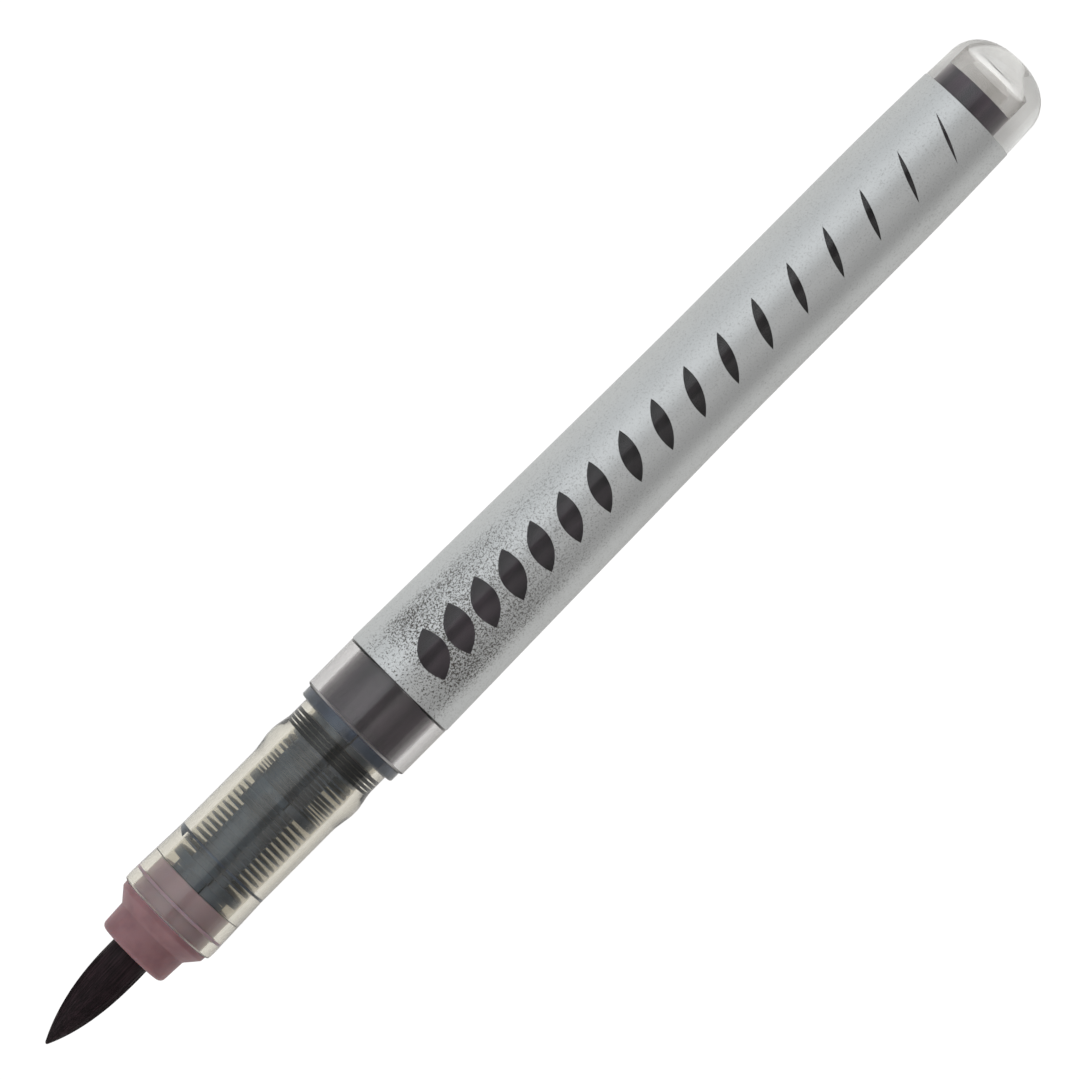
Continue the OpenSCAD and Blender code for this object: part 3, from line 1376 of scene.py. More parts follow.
    def round_off(self, piece: bpy.types.Object) -> None:
        """Gives the film's faces the normals of a round tube, so that the cuts leave no creases.

        Args:
            piece: The cut film.
        """
        tube_like = 0.9  # a face that looks outwards or inwards by at least this share is the tube's
        data = piece.data
        normals = []
        for face in data.polygons:
            for corner in face.loop_indices:
                p = data.vertices[data.loops[corner].vertex_index].co
                out = Vector((0, p.y, p.z - self.axis.height)).normalized()
                facing = face.normal.dot(out)
                if abs(facing) > tube_like:
                    normals.append(out * math.copysign(1, facing))
                else:
                    normals.append(face.normal.copy())
        data.normals_split_custom_set(normals)

    def build(self) -> None:
        """Builds every piece of the barrel."""
        self.wall()
        self.ink_charge()
        self.residue()
        self.label()


# ---------------------------------------------------------------- front section


@dataclass
class RingRow:
    """A row of equal discs along the pen, such as capillary fins or the ribs of a seal.

    Attributes:
        start: Place of the first disc.
        pitch: Distance from one disc to the next.
        count: Number of discs.
        radius: Radius of a disc.
        width: Thickness of a disc.
        bore: Radius of the hole through a disc.
    """

    start: float
    pitch: float
    count: int
    radius: float
    width: float
    bore: float

    def disc(self, axis: PenAxis, slot: "VentSlot | None") -> bpy.types.Object:
        """Builds the first disc, with a softened rim.

        Args:
            axis: The pen's axis.
            slot: A slot that cuts the disc, if there is one.

        Returns:
            The disc.
        """
        soft = min(0.08, self.width / 4)
        rings = rounded(
            [
                Corner(self.bore, self.start),
                Corner(self.radius, self.start, soft),
                Corner(self.radius, self.start + self.width, soft),
                Corner(self.bore, self.start + self.width),
            ],
            steps=3,
        )
        if slot is None:
            return turned("disc", axis, rings, angles=even_angles(INNER_STEPS))
        return turned("disc", axis, rings, angles=slot.angles(INNER_STEPS), radius_at=slot.cut)

    def tree(self) -> Shaper:
        """Builds the tree that repeats the first disc along the pen.

        Returns:
            The tree.
        """
        g = Shaper("disc_row")
        count, pitch = g.input("Count", "Int"), g.input("Pitch")
        material = g.input("Material", "Material")
        sockets = {"Count": count, "Offset": g.vector(pitch, 0.0, 0.0)}
        line = g.node("GeometryNodeMeshLine", None, sockets)
        sockets = {"Points": line.outputs[0], "Instance": g.entry.outputs[0]}
        row = g.node("GeometryNodeInstanceOnPoints", None, sockets)
        g.finish(row.outputs[0], material)
        return g

    def build(
        self, name: str, axis: PenAxis, finish: Finish, slot: "VentSlot | None" = None
    ) -> bpy.types.Object:
        """Builds the whole row as one mesh.

        Args:
            name: Name of the new object.
            axis: The pen's axis.
            finish: The discs' finish.
            slot: A slot that runs along the row.

        Returns:
            The row.
        """
        values = {"Count": self.count, "Pitch": self.pitch * MM, "Material": finish.material()}
        return self.tree().run(name, self.disc(axis, slot), values)


@dataclass(frozen=True)
class VentSlot:
    """The air slot along the regulator.

    Attributes:
        width: Its width at the fins' rims.
        bottom: Radius of its bottom.
        angle: Its place round the pen, from +Z towards +Y, in degrees.
        rim: Radius of the fins.
    """

    width: float = 0.2
    bottom: float = 1.6
    angle: float = -8.0
    rim: float = 4.35

    @property
    def half(self) -> float:
        """Half the angle that the slot takes up."""
        return self.width / 2 / self.rim

    def angles(self, count: int) -> list[float]:
        """Gives angles round the pen, with points at both edges of the slot.

        Args:
            count: Number of even steps in a full turn.

        Returns:
            The angles in order.
        """
        middle = math.radians(self.angle)
        edges = [middle + self.half * side * k for side in (-1, 1) for k in (0.97, 1.0)]
        return even_angles(count, [e % FULL_TURN for e in edges])

    def cut(self, ring: Ring, angle: float) -> float:
        """Gives a ring's radius at an angle, which is less inside the slot."""
        off = (angle - math.radians(self.angle) + math.pi) % FULL_TURN - math.pi
        return min(ring.radius, self.bottom) if abs(off) < self.half * INSIDE else ring.radius


@dataclass
class Section:
    """The front section: clear grip housing, nib holder, regulator, seal and wick.

    Attributes:
        axis: The pen's axis.
        clear: Finish of the housing.
        waxy: Finish of the nib holder.
        wetted: Finish of the regulator.
        rubber: Finish of the seal.
        fibre: Finish of the wick.
        slot: The regulator's air slot.
        grip_r: Radius of the grip.
        front_r: Radius of the grip's front end.
        bead_r: Radius of the cap bead.
        bead: Where the cap bead starts.
        neck: Where the neck behind the bead starts.
        flange_w: Width of the flange that the cap seats on.
        chamber_r: Radius of the regulator's chamber.
        chamber_end: Place of the chamber's bottom.
        spigot_r: Radius of the spigot in the barrel.
        spigot_bore: Radius of the ink way through it.
        sleeve_r: Radius of the nib holder's sleeve.
        slack: Gap round the sleeve.
        snap: Place of the holder's snap ring.
        snap_w: Width of the snap ring.
        snap_r: Radius of the groove that holds it.
        nose_r: Radius of the holder's nose.
        mouth_r: Radius of the hole that the brush comes through.
        cup_r: Radius of the recess in the holder's back.
        cup: Depth of that recess.
        notch: Depth of the air notches beside the brush.
        notch_w: Width of an air notch.
        wick_bore: Radius of the regulator's bore for the wick.
        seal_bore: Radius of the seal's bore.
        groove: Depth of the grooves between the seal's ribs.
        front: Place of the housing's front end.
        end: Place of the spigot's end.
        flange_r: Radius of the flange.
    """

    axis: PenAxis
    clear: ClearPlastic
    waxy: WaxyPlastic
    wetted: WettedPlastic
    rubber: WetRubber
    fibre: InkedFibre
    slot: VentSlot = field(default_factory=VentSlot)
    grip_r: float = 5.6
    front_r: float = 5.84
    bead_r: float = 5.92
    bead: float = 36.2
    neck: float = 39.9
    flange_w: float = 1.2
    chamber_r: float = 4.5
    chamber_end: float = 44.1
    spigot_r: float = 5.27
    spigot_bore: float = 3.4
    sleeve_r: float = 4.72
    slack: float = 0.05
    snap: float = 19.0
    snap_w: float = 0.4
    snap_r: float = 5.0
    nose_r: float = 4.27
    mouth_r: float = 2.35
    cup_r: float = 3.35
    cup: float = 1.05
    notch: float = 0.3
    notch_w: float = 0.5
    wick_bore: float = 1.25
    seal_bore: float = 2.01
    groove: float = 0.2
    front: float = field(init=False)
    end: float = field(init=False)
    flange_r: float = field(init=False)

    def __post_init__(self) -> None:
        """Reads the housing's place and size from the frame."""
        self.front, self.end = self.axis.span("grip_housing")
        self.flange_r = self.axis.radius("grip_housing")

    def housing(self) -> bpy.types.Object:
        """Builds the clear grip tube with its bead, flange and spigot.

        Returns:
            The housing.
        """
        holder_end = self.axis.span("nib_holder")[1] + 2 * self.slack
        back = self.axis.span("barrel")[0] - 0.03
        sleeve = self.sleeve_r + self.slack
        outline = [
            Corner(sleeve, self.front, 0.1),
            Corner(self.front_r - 0.03, self.front, 0.3),
            Corner(self.front_r, self.front + 0.9, 2.0),
            Corner(self.front_r - 0.03, self.front + 1.9, 2.0),
            Corner(self.grip_r + 0.1, self.front + 5.0, 12.0),
            Corner(self.grip_r, self.front + 7.8, 12.0),
            Corner(self.grip_r, self.bead - 0.6, 4.5),
            Corner(self.bead_r, self.bead + 1.5, 4.0),
            Corner(self.bead_r, self.neck - 1.2, 4.0),
            Corner(self.grip_r - 0.03, self.neck + 0.6, 4.5),
            Corner(self.grip_r - 0.03, back - self.flange_w, 0.12),
            Corner(self.flange_r, back - self.flange_w, 0.25),
            Corner(self.flange_r, back, 0.06),
            Corner(self.spigot_r, back, 0.05),
            Corner(self.spigot_r, self.end, 0.3),
            Corner(self.spigot_bore, self.end, 0.1),
            Corner(self.spigot_bore, self.chamber_end, 0.1),
            Corner(self.chamber_r, self.chamber_end, 0.05),
            Corner(self.chamber_r, holder_end, 0.05),
            Corner(sleeve, holder_end, 0.05),
            Corner(sleeve, self.snap + self.snap_w + self.slack),
            Corner(self.snap_r, self.snap + self.snap_w + self.slack),
            Corner(self.snap_r, self.snap - self.slack),
            Corner(sleeve, self.snap - self.slack),
        ]
        piece = turned("grip_tube", self.axis, rounded(outline), angles=even_angles(WALL_STEPS))
        self.clear.dress(piece)
        adopt(piece, "section", "clear_grip", "grip_housing")
        return piece

    def holder(self) -> bpy.types.Object:
        """Builds the stepped nib holder, with three air notches beside the brush.

        Returns:
            The holder.
        """
        start, end = self.axis.span("nib_holder")
        shoulder = self.axis.radius("nib_holder")
        lip = self.front - 0.03
        outline = [
            Corner(self.mouth_r, start, 0.18),
            Corner(self.nose_r - 0.15, start, 0.6),
            Corner(self.nose_r, start + 3.0, 0.3),
            Corner(shoulder - 0.04, start + 4.4, 0.35),
            Corner(shoulder, lip, 0.06),
            Corner(self.sleeve_r, lip, 0.05),
            Corner(self.sleeve_r, self.snap),
            Corner(self.snap_r + CONTACT, self.snap + 0.05),
            Corner(self.snap_r + CONTACT, self.snap + self.snap_w - 0.05),
            Corner(self.sleeve_r, self.snap + self.snap_w),
            Corner(self.sleeve_r, end, 0.15),
            Corner(self.cup_r, end, 0.1),
            Corner(self.cup_r, end - self.cup),
            Corner(self.mouth_r, end - self.cup),
        ]
        notches = [math.radians(a) for a in (60, 180, 300)]
        half = self.notch_w / 2 / self.mouth_r
        near_mouth = 2.6  # rings inside this radius have the notches

        def notched(ring: Ring, angle: float) -> float:
            """Widens the mouth at the notches.

            Args:
                ring: A ring of the holder.
                angle: Angle round the pen.

            Returns:
                The ring's radius at the angle.
            """
            off = min(abs((angle - n + math.pi) % FULL_TURN - math.pi) for n in notches)
            cut = off < half * INSIDE and ring.radius < near_mouth
            return ring.radius + self.notch if cut else ring.radius

        sides = [half * side * share for side in (-1, 1) for share in (0.9, 1.0)]
        angles = even_angles(160, [(n + side) % FULL_TURN for n in notches for side in sides])
        piece = turned("nib_collar", self.axis, rounded(outline), angles=angles, radius_at=notched)
        self.waxy.dress(piece)
        adopt(piece, "section", "holder_plastic", "nib_holder")
        return piece

    def spool(self, outline: Sequence[Corner]) -> bpy.types.Object:
        """Turns one plain part of the regulator, cut by the vent slot.

        Args:
            outline: Corners of its outline, from one pole to the other.

        Returns:
            The part.
        """
        rings = rounded(outline, steps=3, closed=False)
        angles = self.slot.angles(INNER_STEPS)
        return turned("spool", self.axis, rings, closed=False, angles=angles, radius_at=self.slot.cut)

    def column(self, radius: float, low: float, high: float, soft: float = 0.06) -> bpy.types.Object:
        """Turns a solid cylinder of the regulator.

        Args:
            radius: Its radius.
            low: Where it starts.
            high: Where it ends.
            soft: Fillet of its rims.

        Returns:
            The cylinder.
        """
        return self.spool(
            [Corner(0, low), Corner(radius, low, soft), Corner(radius, high, soft), Corner(0, high)]
        )

    def web(self, low: float, high: float, radius: float, half: float, shift: float) -> bpy.types.Object:
        """Builds a stretch of the flat-sided web that joins the fins.

        Args:
            low: Where the stretch starts.
            high: Where it ends.
            radius: How far it reaches up and down.
            half: Half its width across the pen.
            shift: How far it is set towards +Y.

        Returns:
            The stretch of web.
        """
        rings = [Ring(r, x, shift) for r, x in ((0, low), (radius, low), (radius, high), (0, high))]

        def flat_sided(ring: Ring, angle: float) -> float:
            """Gives the web's radius at an angle."""
            return min(ring.radius, half / max(abs(math.sin(angle)), TINY))

        angles = even_angles(INNER_STEPS)
        return turned("web", self.axis, rings, closed=False, angles=angles, radius_at=flat_sided)

    def lug(self, disc_start: float) -> bpy.types.Object:
        """Builds the curved wedge that braces the vent disc against the housing, on the +Y side.

        Args:
            disc_start: Place of the disc's front face.

        Returns:
            The wedge, which widens towards the disc.
        """
        low, high, steps = math.radians(66), math.radians(98), 8
        reach, thin, foot, top = 0.7, 0.02, 3.9, self.chamber_r + CONTACT
        base = disc_start + 0.1
        mesh = bmesh.new()
        rows = []
        for k in range(steps + 1):
            angle = low + (high - low) * k / steps
            tip = disc_start - reach * (1 - k / steps) - thin
            outline = ((tip, foot), (tip, top), (base, top), (base, foot))
            places = [self.axis.place(x, r * math.sin(angle), r * math.cos(angle)) for x, r in outline]
            rows.append([mesh.verts.new(place) for place in places])
        for a, b in zip(rows, rows[1:]):
            for k, n in ((0, 1), (1, 2), (2, 3), (3, 0)):
                mesh.faces.new((a[k], a[n], b[n], b[k]))
        mesh.faces.new(rows[0])
        mesh.faces.new(rows[-1])
        bmesh.ops.recalc_face_normals(mesh, faces=mesh.faces)
        return finished("lug", mesh)

    def regulator(self) -> bpy.types.Object:
        """Builds the comb of capillary fins on its core.

        Returns:
            The regulator.
        """
        start, back = self.axis.span("regulator")
        rim, bore, wide = self.slot.rim, self.wick_bore, self.chamber_r + CONTACT
        broad = RingRow(start=start + 5.4, pitch=0.74, count=10, radius=rim, width=0.2, bore=bore)
        ring = broad.start + broad.count * broad.pitch + 0.1
        fine = RingRow(start=ring + 1.25, pitch=0.5, count=9, radius=rim, width=0.16, bore=bore)
        disc_start = start + 4.55
        parts = [
            self.column(3.3, start, start + 2.3, 0.15),  # boss in the holder's recess
            self.column(rim - 0.05, start + 2.2, start + 3.2, 0.12),  # front ring
            self.column(2.1, start + 3.1, self.neck - 0.2),  # core
            self.column(rim, start + 3.85, start + 4.15),  # disc in front of the vent disc
            self.column(wide, disc_start, disc_start + 0.3, 0.03),  # vent disc
            self.column(rim - 0.05, ring, ring + 1.0, 0.12),  # ring between broad and fine fins
            self.column(rim, self.neck - 0.4, self.neck),  # last disc
            self.column(2.0, self.neck - 0.1, back),  # spindle through the seal
            self.column(rim - 0.3, back - 1.97, back - 1.0),  # collar behind the seal
            self.column(wide, back - 1.1, back + CONTACT, 0.03),  # disc that closes the chamber
            self.lug(disc_start),
            self.web(start + 3.0, start + 10.8, 4.15, 2.15, 0.25),
            self.web(start + 10.8, self.neck - 0.2, 3.85, 2.5, 0.65),
            broad.build("broad_fins", self.axis, self.wetted, self.slot),
            fine.build("fine_fins", self.axis, self.wetted, self.slot),
        ]
        piece = joined("ink_regulator", parts)
        self.wetted.dress(piece)
        adopt(piece, "section", "regulator_plastic", "regulator")
        return piece

    def seal(self) -> bpy.types.Object:
        """Builds the ribbed rubber ring in front of the ink.

        Returns:
            The seal.
        """
        start, end = self.axis.span("reservoir_seal")
        width, count, bore = 0.46, 4, self.seal_bore
        pitch = (end - start - width) / (count - 1)
        ribs = RingRow(start, pitch, count, self.chamber_r + CONTACT, width, bore)
        rows = ribs.build("seal_ribs", self.axis, self.rubber)
        body_r = self.chamber_r - self.groove
        rings = [Corner(bore, start), Corner(body_r, start, 0.05)]
        rings += [Corner(body_r, end, 0.05), Corner(bore, end)]
        body = turned("seal_body", self.axis, rounded(rings), angles=even_angles(INNER_STEPS))
        piece = joined("ribbed_seal", [body, rows])
        self.rubber.dress(piece)
        adopt(piece, "section", "seal_rubber", "reservoir_seal")
        return piece

    def wick(self) -> bpy.types.Object:
        """Builds the fibre rod in the regulator's core.

        Returns:
            The wick.
        """
        start, end = self.axis.span("feed_wick")
        radius = self.axis.radius("feed_wick")
        rings = [Corner(0, start), Corner(radius, start, 0.15), Corner(radius, end, 0.3), Corner(0, end)]
        piece = turned("feed_rod", self.axis, rounded(rings, closed=False), closed=False)
        self.fibre.dress(piece)
        adopt(piece, "section", "wick_fibre", "feed_wick")
        return piece

    def build(self) -> None:
        """Builds every piece of the section."""
        self.housing()
        self.holder()
        self.regulator()
        self.seal()
        self.wick()


# ---------------------------------------------------------------- brush


@dataclass
class Brush:
    """The fibre brush: one tapering bundle from its stem to its point.

    Attributes:
        axis: The pen's axis.
        fibre: Its finish.
        radius: Radius where it leaves its holder.
        point_r: Radius of its point.
        power: How full its taper is.
        tail_r: Radius of the thin tail in the holder.
        tail: Length of that tail.
        set_over: How far its worn point leans towards -Y.
        set_power: How sharply the lean grows towards the point.
        furrow: Depth of the furrows between its bundles.
        twist: Turn of the furrows along the pen, in radians for each millimetre.
        strands: Number of single fibres that lie on its surface.
        strand_r: Radius of a single fibre.
        bend: Where the bend starts and ends.
        seed: Seed of everything random about it.
        mouth: Place where it leaves its holder.
        end: Place of the end of its hidden tail.
        waves: Count round the brush, phase and size of each set of furrows.
    """

    axis: PenAxis
    fibre: InkedFibre
    radius: float = 2.3
    point_r: float = 0.12
    power: float = 2.67
    tail_r: float = 1.2
    tail: float = 7.2
    set_over: float = 0.27
    set_power: float = 1.5
    furrow: float = 0.018
    twist: float = 0.04
    strands: int = 150
    strand_r: float = 0.022
    bend: tuple[float, float] = (10.6, 5.2)
    seed: int = 11
    mouth: float = field(init=False)
    end: float = field(init=False)
    waves: list[tuple[int, float, float]] = field(init=False)

    def __post_init__(self) -> None:
        """Reads the brush's places from the frame and draws its furrows."""
        self.mouth = self.axis.span("nib_holder")[0]
        self.end = self.axis.span("brush_stem")[1]
        draw = random.Random(self.seed)
        counts = (7, 11, 17, 23, 31, 41, 53)
        self.waves = [(n, draw.uniform(0, FULL_TURN), draw.uniform(0.5, 1.0)) for n in counts]

    def profile(self, along: float) -> float:
        """Gives the brush's radius at a place."""
        share = min(1.0, max(0.0, along / self.mouth))
        return self.point_r + (self.radius - self.point_r) * (1 - (1 - share) ** self.power)

    def lean(self, along: float) -> float:
        """Gives how far the worn point has set over at a place."""
        return -self.set_over * max(0.0, 1 - along / self.mouth) ** self.set_power

    def furrowed(self, ring: Ring, angle: float) -> float:
        """Gives a ring's radius with its furrows.

        Args:
            ring: The ring.
            angle: Angle round the pen.

        Returns:
            The radius.
        """
        depth = self.furrow * min(1.0, ring.radius / self.radius) / len(self.waves)
        turn = self.twist * ring.along
        ripple = sum(size * math.sin(n * (angle + turn / n) + phase) for n, phase, size in self.waves)
        return ring.radius + depth * ripple - (self.furrow / 2 if ring.radius > 1 else 0)

    def body(self) -> bpy.types.Object:
        """Turns the bundle from its point to the end of its hidden tail.

        Returns:
            The bundle, without its single fibres.
        """
        tip, steps, crowding = 0.05, 56, 1.3
        rings = [Ring(0, 0, self.lean(0)), Ring(self.point_r * 0.7, 0.03, self.lean(0))]
        for k in range(1, steps + 1):
            x = tip + (self.mouth - tip) * (k / steps) ** crowding
            rings.append(Ring(self.profile(x), x, self.lean(x)))
        stop = self.end - self.tail
        rings += [Ring(self.radius, self.mouth + 1), Ring(self.radius, stop), Ring(self.tail_r, stop)]
        rings += [Ring(self.tail_r, self.end), Ring(0, self.end)]
        angles = even_angles(180)
        return turned("brush_bundle", self.axis, rings, closed=False, angles=angles, radius_at=self.furrowed)

    def strand_tree(self) -> Shaper:
        """Builds the tree that lays single fibres along the bundle.

        Returns:
            The tree.
        """
        g = Shaper("brush_strands")
        count, seed = g.input("Count", "Int"), g.input("Seed", "Int")
        radius, point_r = g.input("Radius"), g.input("Point radius")
        power, length = g.input("Power"), g.input("Length")
        lean, thick = g.input("Lean"), g.input("Strand radius")
        start, height = g.input("Start"), g.input("Axis height")
        material = g.input("Material", "Material")

        def drawn(low: float, high: float, step: int) -> Value:
            """Draws one number for each fibre.

            Args:
                low: Lowest number.
                high: Highest number.
                step: Step from the seed, which differs from draw to draw.

            Returns:
                The number.
            """
            made = g.node("FunctionNodeRandomValue", {"data_type": "FLOAT"})
            wanted = {"Min": low, "Max": high, "Seed": seed + float(step)}
            for key, given in wanted.items():
                g.feed(next(s for s in made.inputs if s.name == key and s.enabled), given)
            return Value(g, next(s for s in made.outputs if s.enabled))

        points = g.node("GeometryNodeMeshLine", None, {"Count": count})
        index = Value(g, g.node("GeometryNodeInputIndex").outputs[0])
        geometry = points.outputs[0]
        facts = {
            "turn": (index + drawn(-0.4, 0.4, 1)) / (count * 1.0) * FULL_TURN,
            "from": drawn(0.0, 0.45, 2),
            "to": drawn(0.75, 1.04, 3),
            "lift": drawn(-0.6, 0.5, 4),
        }
        for name, value in facts.items():
            settings = {"data_type": "FLOAT", "domain": "POINT"}
            sockets = {"Geometry": geometry, "Name": name}
            store = g.node("GeometryNodeStoreNamedAttribute", settings, sockets)
            g.feed(next(s for s in store.inputs if s.name == "Value" and s.enabled), value)
            geometry = store.outputs[0]
        line = g.node("GeometryNodeCurvePrimitiveLine", None, {"End": Vector((1, 0, 0))})
        fine_line = g.node("GeometryNodeResampleCurve", None, {"Curve": line.outputs[0], "Count": 18})
        sockets = {"Points": geometry, "Instance": fine_line.outputs[0]}
        laid = g.node("GeometryNodeInstanceOnPoints", None, sockets)
        real = g.node("GeometryNodeRealizeInstances", None, {0: laid.outputs[0]})

        def fact(name: str) -> Value:
            """Reads a number that was stored for each fibre."""
            made = g.node("GeometryNodeInputNamedAttribute", {"data_type": "FLOAT"}, {"Name": name})
            return Value(g, next(s for s in made.outputs if s.enabled))

        along = Value(g, g.node("GeometryNodeSplineParameter").outputs["Factor"])
        share = fact("from") + (fact("to") - fact("from")) * along
        left = (1.0 - share).at_least(0.0)
        full = point_r + (radius - point_r) * (1.0 - left**power)
        out = full + thick * fact("lift")
        side = g.math("SINE", fact("turn")) * out - lean * left**self.set_power
        up = g.math("COSINE", fact("turn")) * out + height
        sockets = {"Geometry": real.outputs[0], "Position": g.vector(start + length * share, side, up)}
        moved = g.node("GeometryNodeSetPosition", None, sockets)
        wire = g.node("GeometryNodeCurvePrimitiveCircle", None, {"Resolution": 5, "Radius": thick})
        taper = (along * (1.0 - along) * 12.0).held()
        tubes = g.node(
            "GeometryNodeCurveToMesh",
            None,
            {
                "Curve": moved.outputs[0],
                "Profile Curve": wire.outputs[0],
                "Scale": 0.3 + 0.7 * taper,
                "Fill Caps": True,
            },
        )
        both = g.node("GeometryNodeJoinGeometry")
        for source in (tubes.outputs[0], g.entry.outputs[0]):
            g.tree.links.new(source, both.inputs[0])
        g.finish(both.outputs[0], material)
        return g

    def build(self) -> None:
        """Builds the brush and hides the CAD stem and point."""
        piece = self.strand_tree().run(
            "fibre_brush",
            self.body(),
            {
                "Count": self.strands,
                "Seed": self.seed,
                "Radius": self.radius * MM,
                "Point radius": self.point_r * MM,
                "Power": self.power,
                "Length": self.mouth * MM,
                "Lean": self.set_over * MM,
                "Strand radius": self.strand_r * MM,
                "Start": self.axis.start,
                "Axis height": self.axis.height,
                "Material": self.fibre.material(),
            },
        )
        self.fibre.dress(piece)
        start, end = (self.axis.place(x) for x in self.bend)
        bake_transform(piece)
        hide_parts("brush_stem", "brush_point")
        LOG.info("%s bends from nib to tip, %d faces", piece.name, len(piece.data.polygons))


# ---------------------------------------------------------------- studio


@dataclass
class Studio:
    """The table, the white backdrop, the soft light and the camera above the pen.

    Attributes:
        axis: The pen's axis.
        table: Finish of the table, which lights the pen from below and takes its shadow.
        backdrop: Finish of the plain white behind the pen, which only the camera sees.
        across: Width of the view at the pen, in millimetres.
        distance: Distance of the camera from the pen's axis.
        turn: Angle of the pen in the view, in degrees.
        aim: What the camera looks at, along the pen and across it.
        sheet_half: Half the side of a sheet, in metres, so large that low views see no edge.
        lamp_size: Length and height of the soft lamp, in metres.
        lamp_power: Power of the soft lamp, in watts.
        lamp_place: Place of the soft lamp, in metres.
    """

    axis: PenAxis
    table: Paper
    backdrop: Paper
    across: float = 108.0
    distance: float = 864.0
    turn: float = 45.16
    aim: tuple[float, float] = (70.57, 0.2)
    sheet_half: float = 20.0
    lamp_size: tuple[float, float] = (0.9, 0.45)
    lamp_power: float = 0.2
    lamp_place: tuple[float, float, float] = (0.0, 0.42, 0.75)

    def camera(self) -> None:
        """Sets the camera, which looks straight down on the pen."""
        data = bpy.data.cameras.new("camera")
        data.sensor_width = 36.0
        data.lens = data.sensor_width * self.distance / self.across
        data.clip_start, data.clip_end = 0.01, 100.0
        camera = linked("camera", data)
        place = self.axis.place(self.aim[0], self.aim[1], self.distance)
        camera.matrix_world = Matrix.Translation(place) @ Matrix.Rotation(-math.radians(self.turn), 4, "Z")
        bpy.context.scene.camera = camera

    def sheet(self, name: str, below: float, finish: Paper) -> bpy.types.Object:
        """Lays a sheet of paper.

        Args:
            name: Name of the sheet.
            below: How far it lies below the row's floor.
            finish: The paper's finish.

        Returns:
            The sheet.
        """
        mesh = bmesh.new()
        bmesh.ops.create_grid(mesh, x_segments=1, y_segments=1, size=self.sheet_half)
        bmesh.ops.translate(mesh, vec=(0, 0, -below * MM), verts=mesh.verts)
        sheet = finished(name, mesh)
        finish.dress(sheet)
        return sheet

    def floor(self) -> None:
        """Lays the table and, for the camera alone, the backdrop."""
        self.sheet("table", below=0.0, finish=self.table).visible_camera = False
        backdrop = self.sheet("backdrop", below=1.0, finish=self.backdrop)
        for rays in ("diffuse", "glossy", "transmission", "shadow"):
            setattr(backdrop, f"visible_{rays}", False)

    def sky(self) -> None:
        """Makes the light of a white tent, brighter on the +Y side and dim behind the camera."""
        world = bpy.data.worlds.new("tent")
        world.use_nodes = True
        bpy.context.scene.world = world
        g = Graph(world.node_tree)
        world.node_tree.nodes.clear()
        direction = g.node("ShaderNodeTexCoord").outputs["Generated"]
        split = g.node("ShaderNodeSeparateXYZ", None, {0: direction})
        across = Value(g, split.outputs[1])
        near_side = across.ramp(-0.95, -0.35)
        overhead = across.ramp(-0.30, -0.17) * across.ramp(0.12, 0.04)
        far_side = across.ramp(0.05, 0.17)
        horizon = across.ramp(0.55, 1.0)
        ends = g.math("ABSOLUTE", Value(g, split.outputs[0])).ramp(0.72, 0.95)
        level = 0.36 + 0.41 * near_side - 0.36 * overhead + 0.38 * far_side - 0.32 * horizon + 0.9 * ends
        shade = g.mix(far_side, (1.0, 0.985, 0.965), (0.965, 0.99, 1.0))
        back = g.node("ShaderNodeBackground", None, {"Color": shade, "Strength": level})
        g.node("ShaderNodeOutputWorld", None, {0: back.outputs[0]})

    def softbox(self) -> None:
        """Hangs one large soft lamp on the +Y side."""
        data = bpy.data.lights.new("softbox", "AREA")
        data.shape = "RECTANGLE"
        data.size, data.size_y = self.lamp_size
        data.energy = self.lamp_power
        lamp = linked("softbox", data)
        place = Vector(self.lamp_place)
        lamp.matrix_world = Matrix.Translation(place) @ place.to_track_quat("Z", "Y").to_matrix().to_4x4()
        lamp.visible_camera = False

    def build(self) -> None:
        """Builds the studio."""
        bpy.context.scene.view_settings.view_transform = "Standard"
        self.camera()
        self.floor()
        self.sky()
        self.softbox()


def corners(bounds: Sequence[Vector]) -> list[list[float]]:
    """Turns a box into plain lists of numbers."""
    return [[float(v) for v in corner] for corner in bounds]


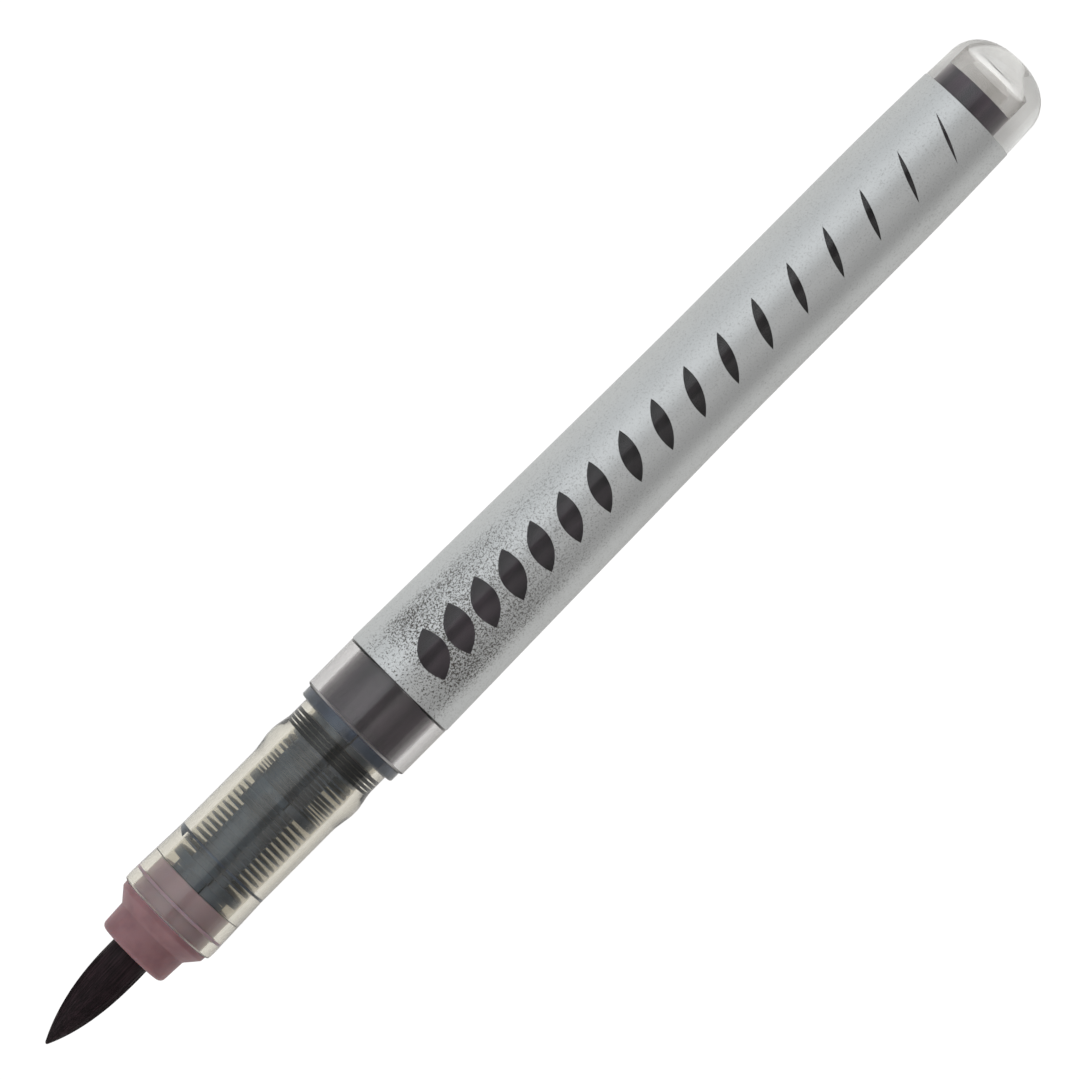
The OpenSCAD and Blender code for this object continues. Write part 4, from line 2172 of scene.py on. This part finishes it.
def main() -> None:
    """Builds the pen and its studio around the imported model."""
    logging.basicConfig(level=logging.INFO, format="%(name)s: %(message)s")
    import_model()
    axis = PenAxis.from_frame()
    table = Paper("table_paper", paint=(0.88, 0.87, 0.85), light=(1.0, 0.99, 0.97), glow=0.15)
    backdrop = Paper("backdrop_paper", paint=(0.0, 0.0, 0.0), light=(1.0, 1.0, 1.0), glow=1.05)
    Studio(axis, table, backdrop).build()
    Barrel(
        axis,
        ClearPlastic(
            "polished_barrel",
            tint=(0.985, 0.985, 0.98),
            stained=(0.70, 0.685, 0.69),
            stain_from=axis.place(52.0).x,
            stain_to=axis.place(60.0).x,
            lamp_tint=(0.96, 0.96, 0.95),
            rim_end=axis.place(44.42).x,
        ),
        Ink("black_ink", deep=from_hex("2f2832"), thin=from_hex("5b4b58")),
        Murk("ink_murk", colour=from_hex("7f7770"), cover=0.2),
        SilverFilm(
            "grained_silver",
            silver=from_hex("c8cacb"),
            grain=from_hex("47433f"),
            grain_from=axis.place(52.0).x,
            grain_to=axis.place(88.0).x,
            height=axis.height,
            radius=axis.radius("barrel") * MM,
        ),
    ).build()
    Section(
        axis,
        ClearPlastic(
            "polished_grip",
            tint=(0.98, 0.93, 0.96),
            stained=(0.78, 0.75, 0.67),
            stain_from=axis.place(42.8).x,
            stain_to=axis.place(44.3).x,
            lamp_tint=(0.92, 0.91, 0.88),
            rim_end=axis.place(17.65).x,
        ),
        WaxyPlastic(
            "mauve_plastic",
            light=from_hex("866367"),
            dark=from_hex("714f54"),
            # inside colour painted lighter, making up for the light that the housing holds back
            inside_unstained_lightened=from_hex("ae97aa"),
            shelter=axis.place(17.4).x,
        ),
        WettedPlastic(
            "wetted_blue_grey",
            # core colour painted lighter, cancelling the shade between the fins
            painted_light_core=from_hex("7b94b4"),
            wet=from_hex("3c4657"),
            height=axis.height,
            core=2.3 * MM,
            rim=4.0 * MM,
        ),
        WetRubber("wet_rubber", colour=from_hex("101314")),
        InkedFibre("inked_wick", shade=from_hex("241d21"), crest=from_hex("4a4045"), gloss=0.6),
    ).build()
    Brush(axis, InkedFibre("inked_brush", shade=from_hex("140b0e"), crest=from_hex("2e1e24"))).build()


if __name__ == "__main__":
    main()
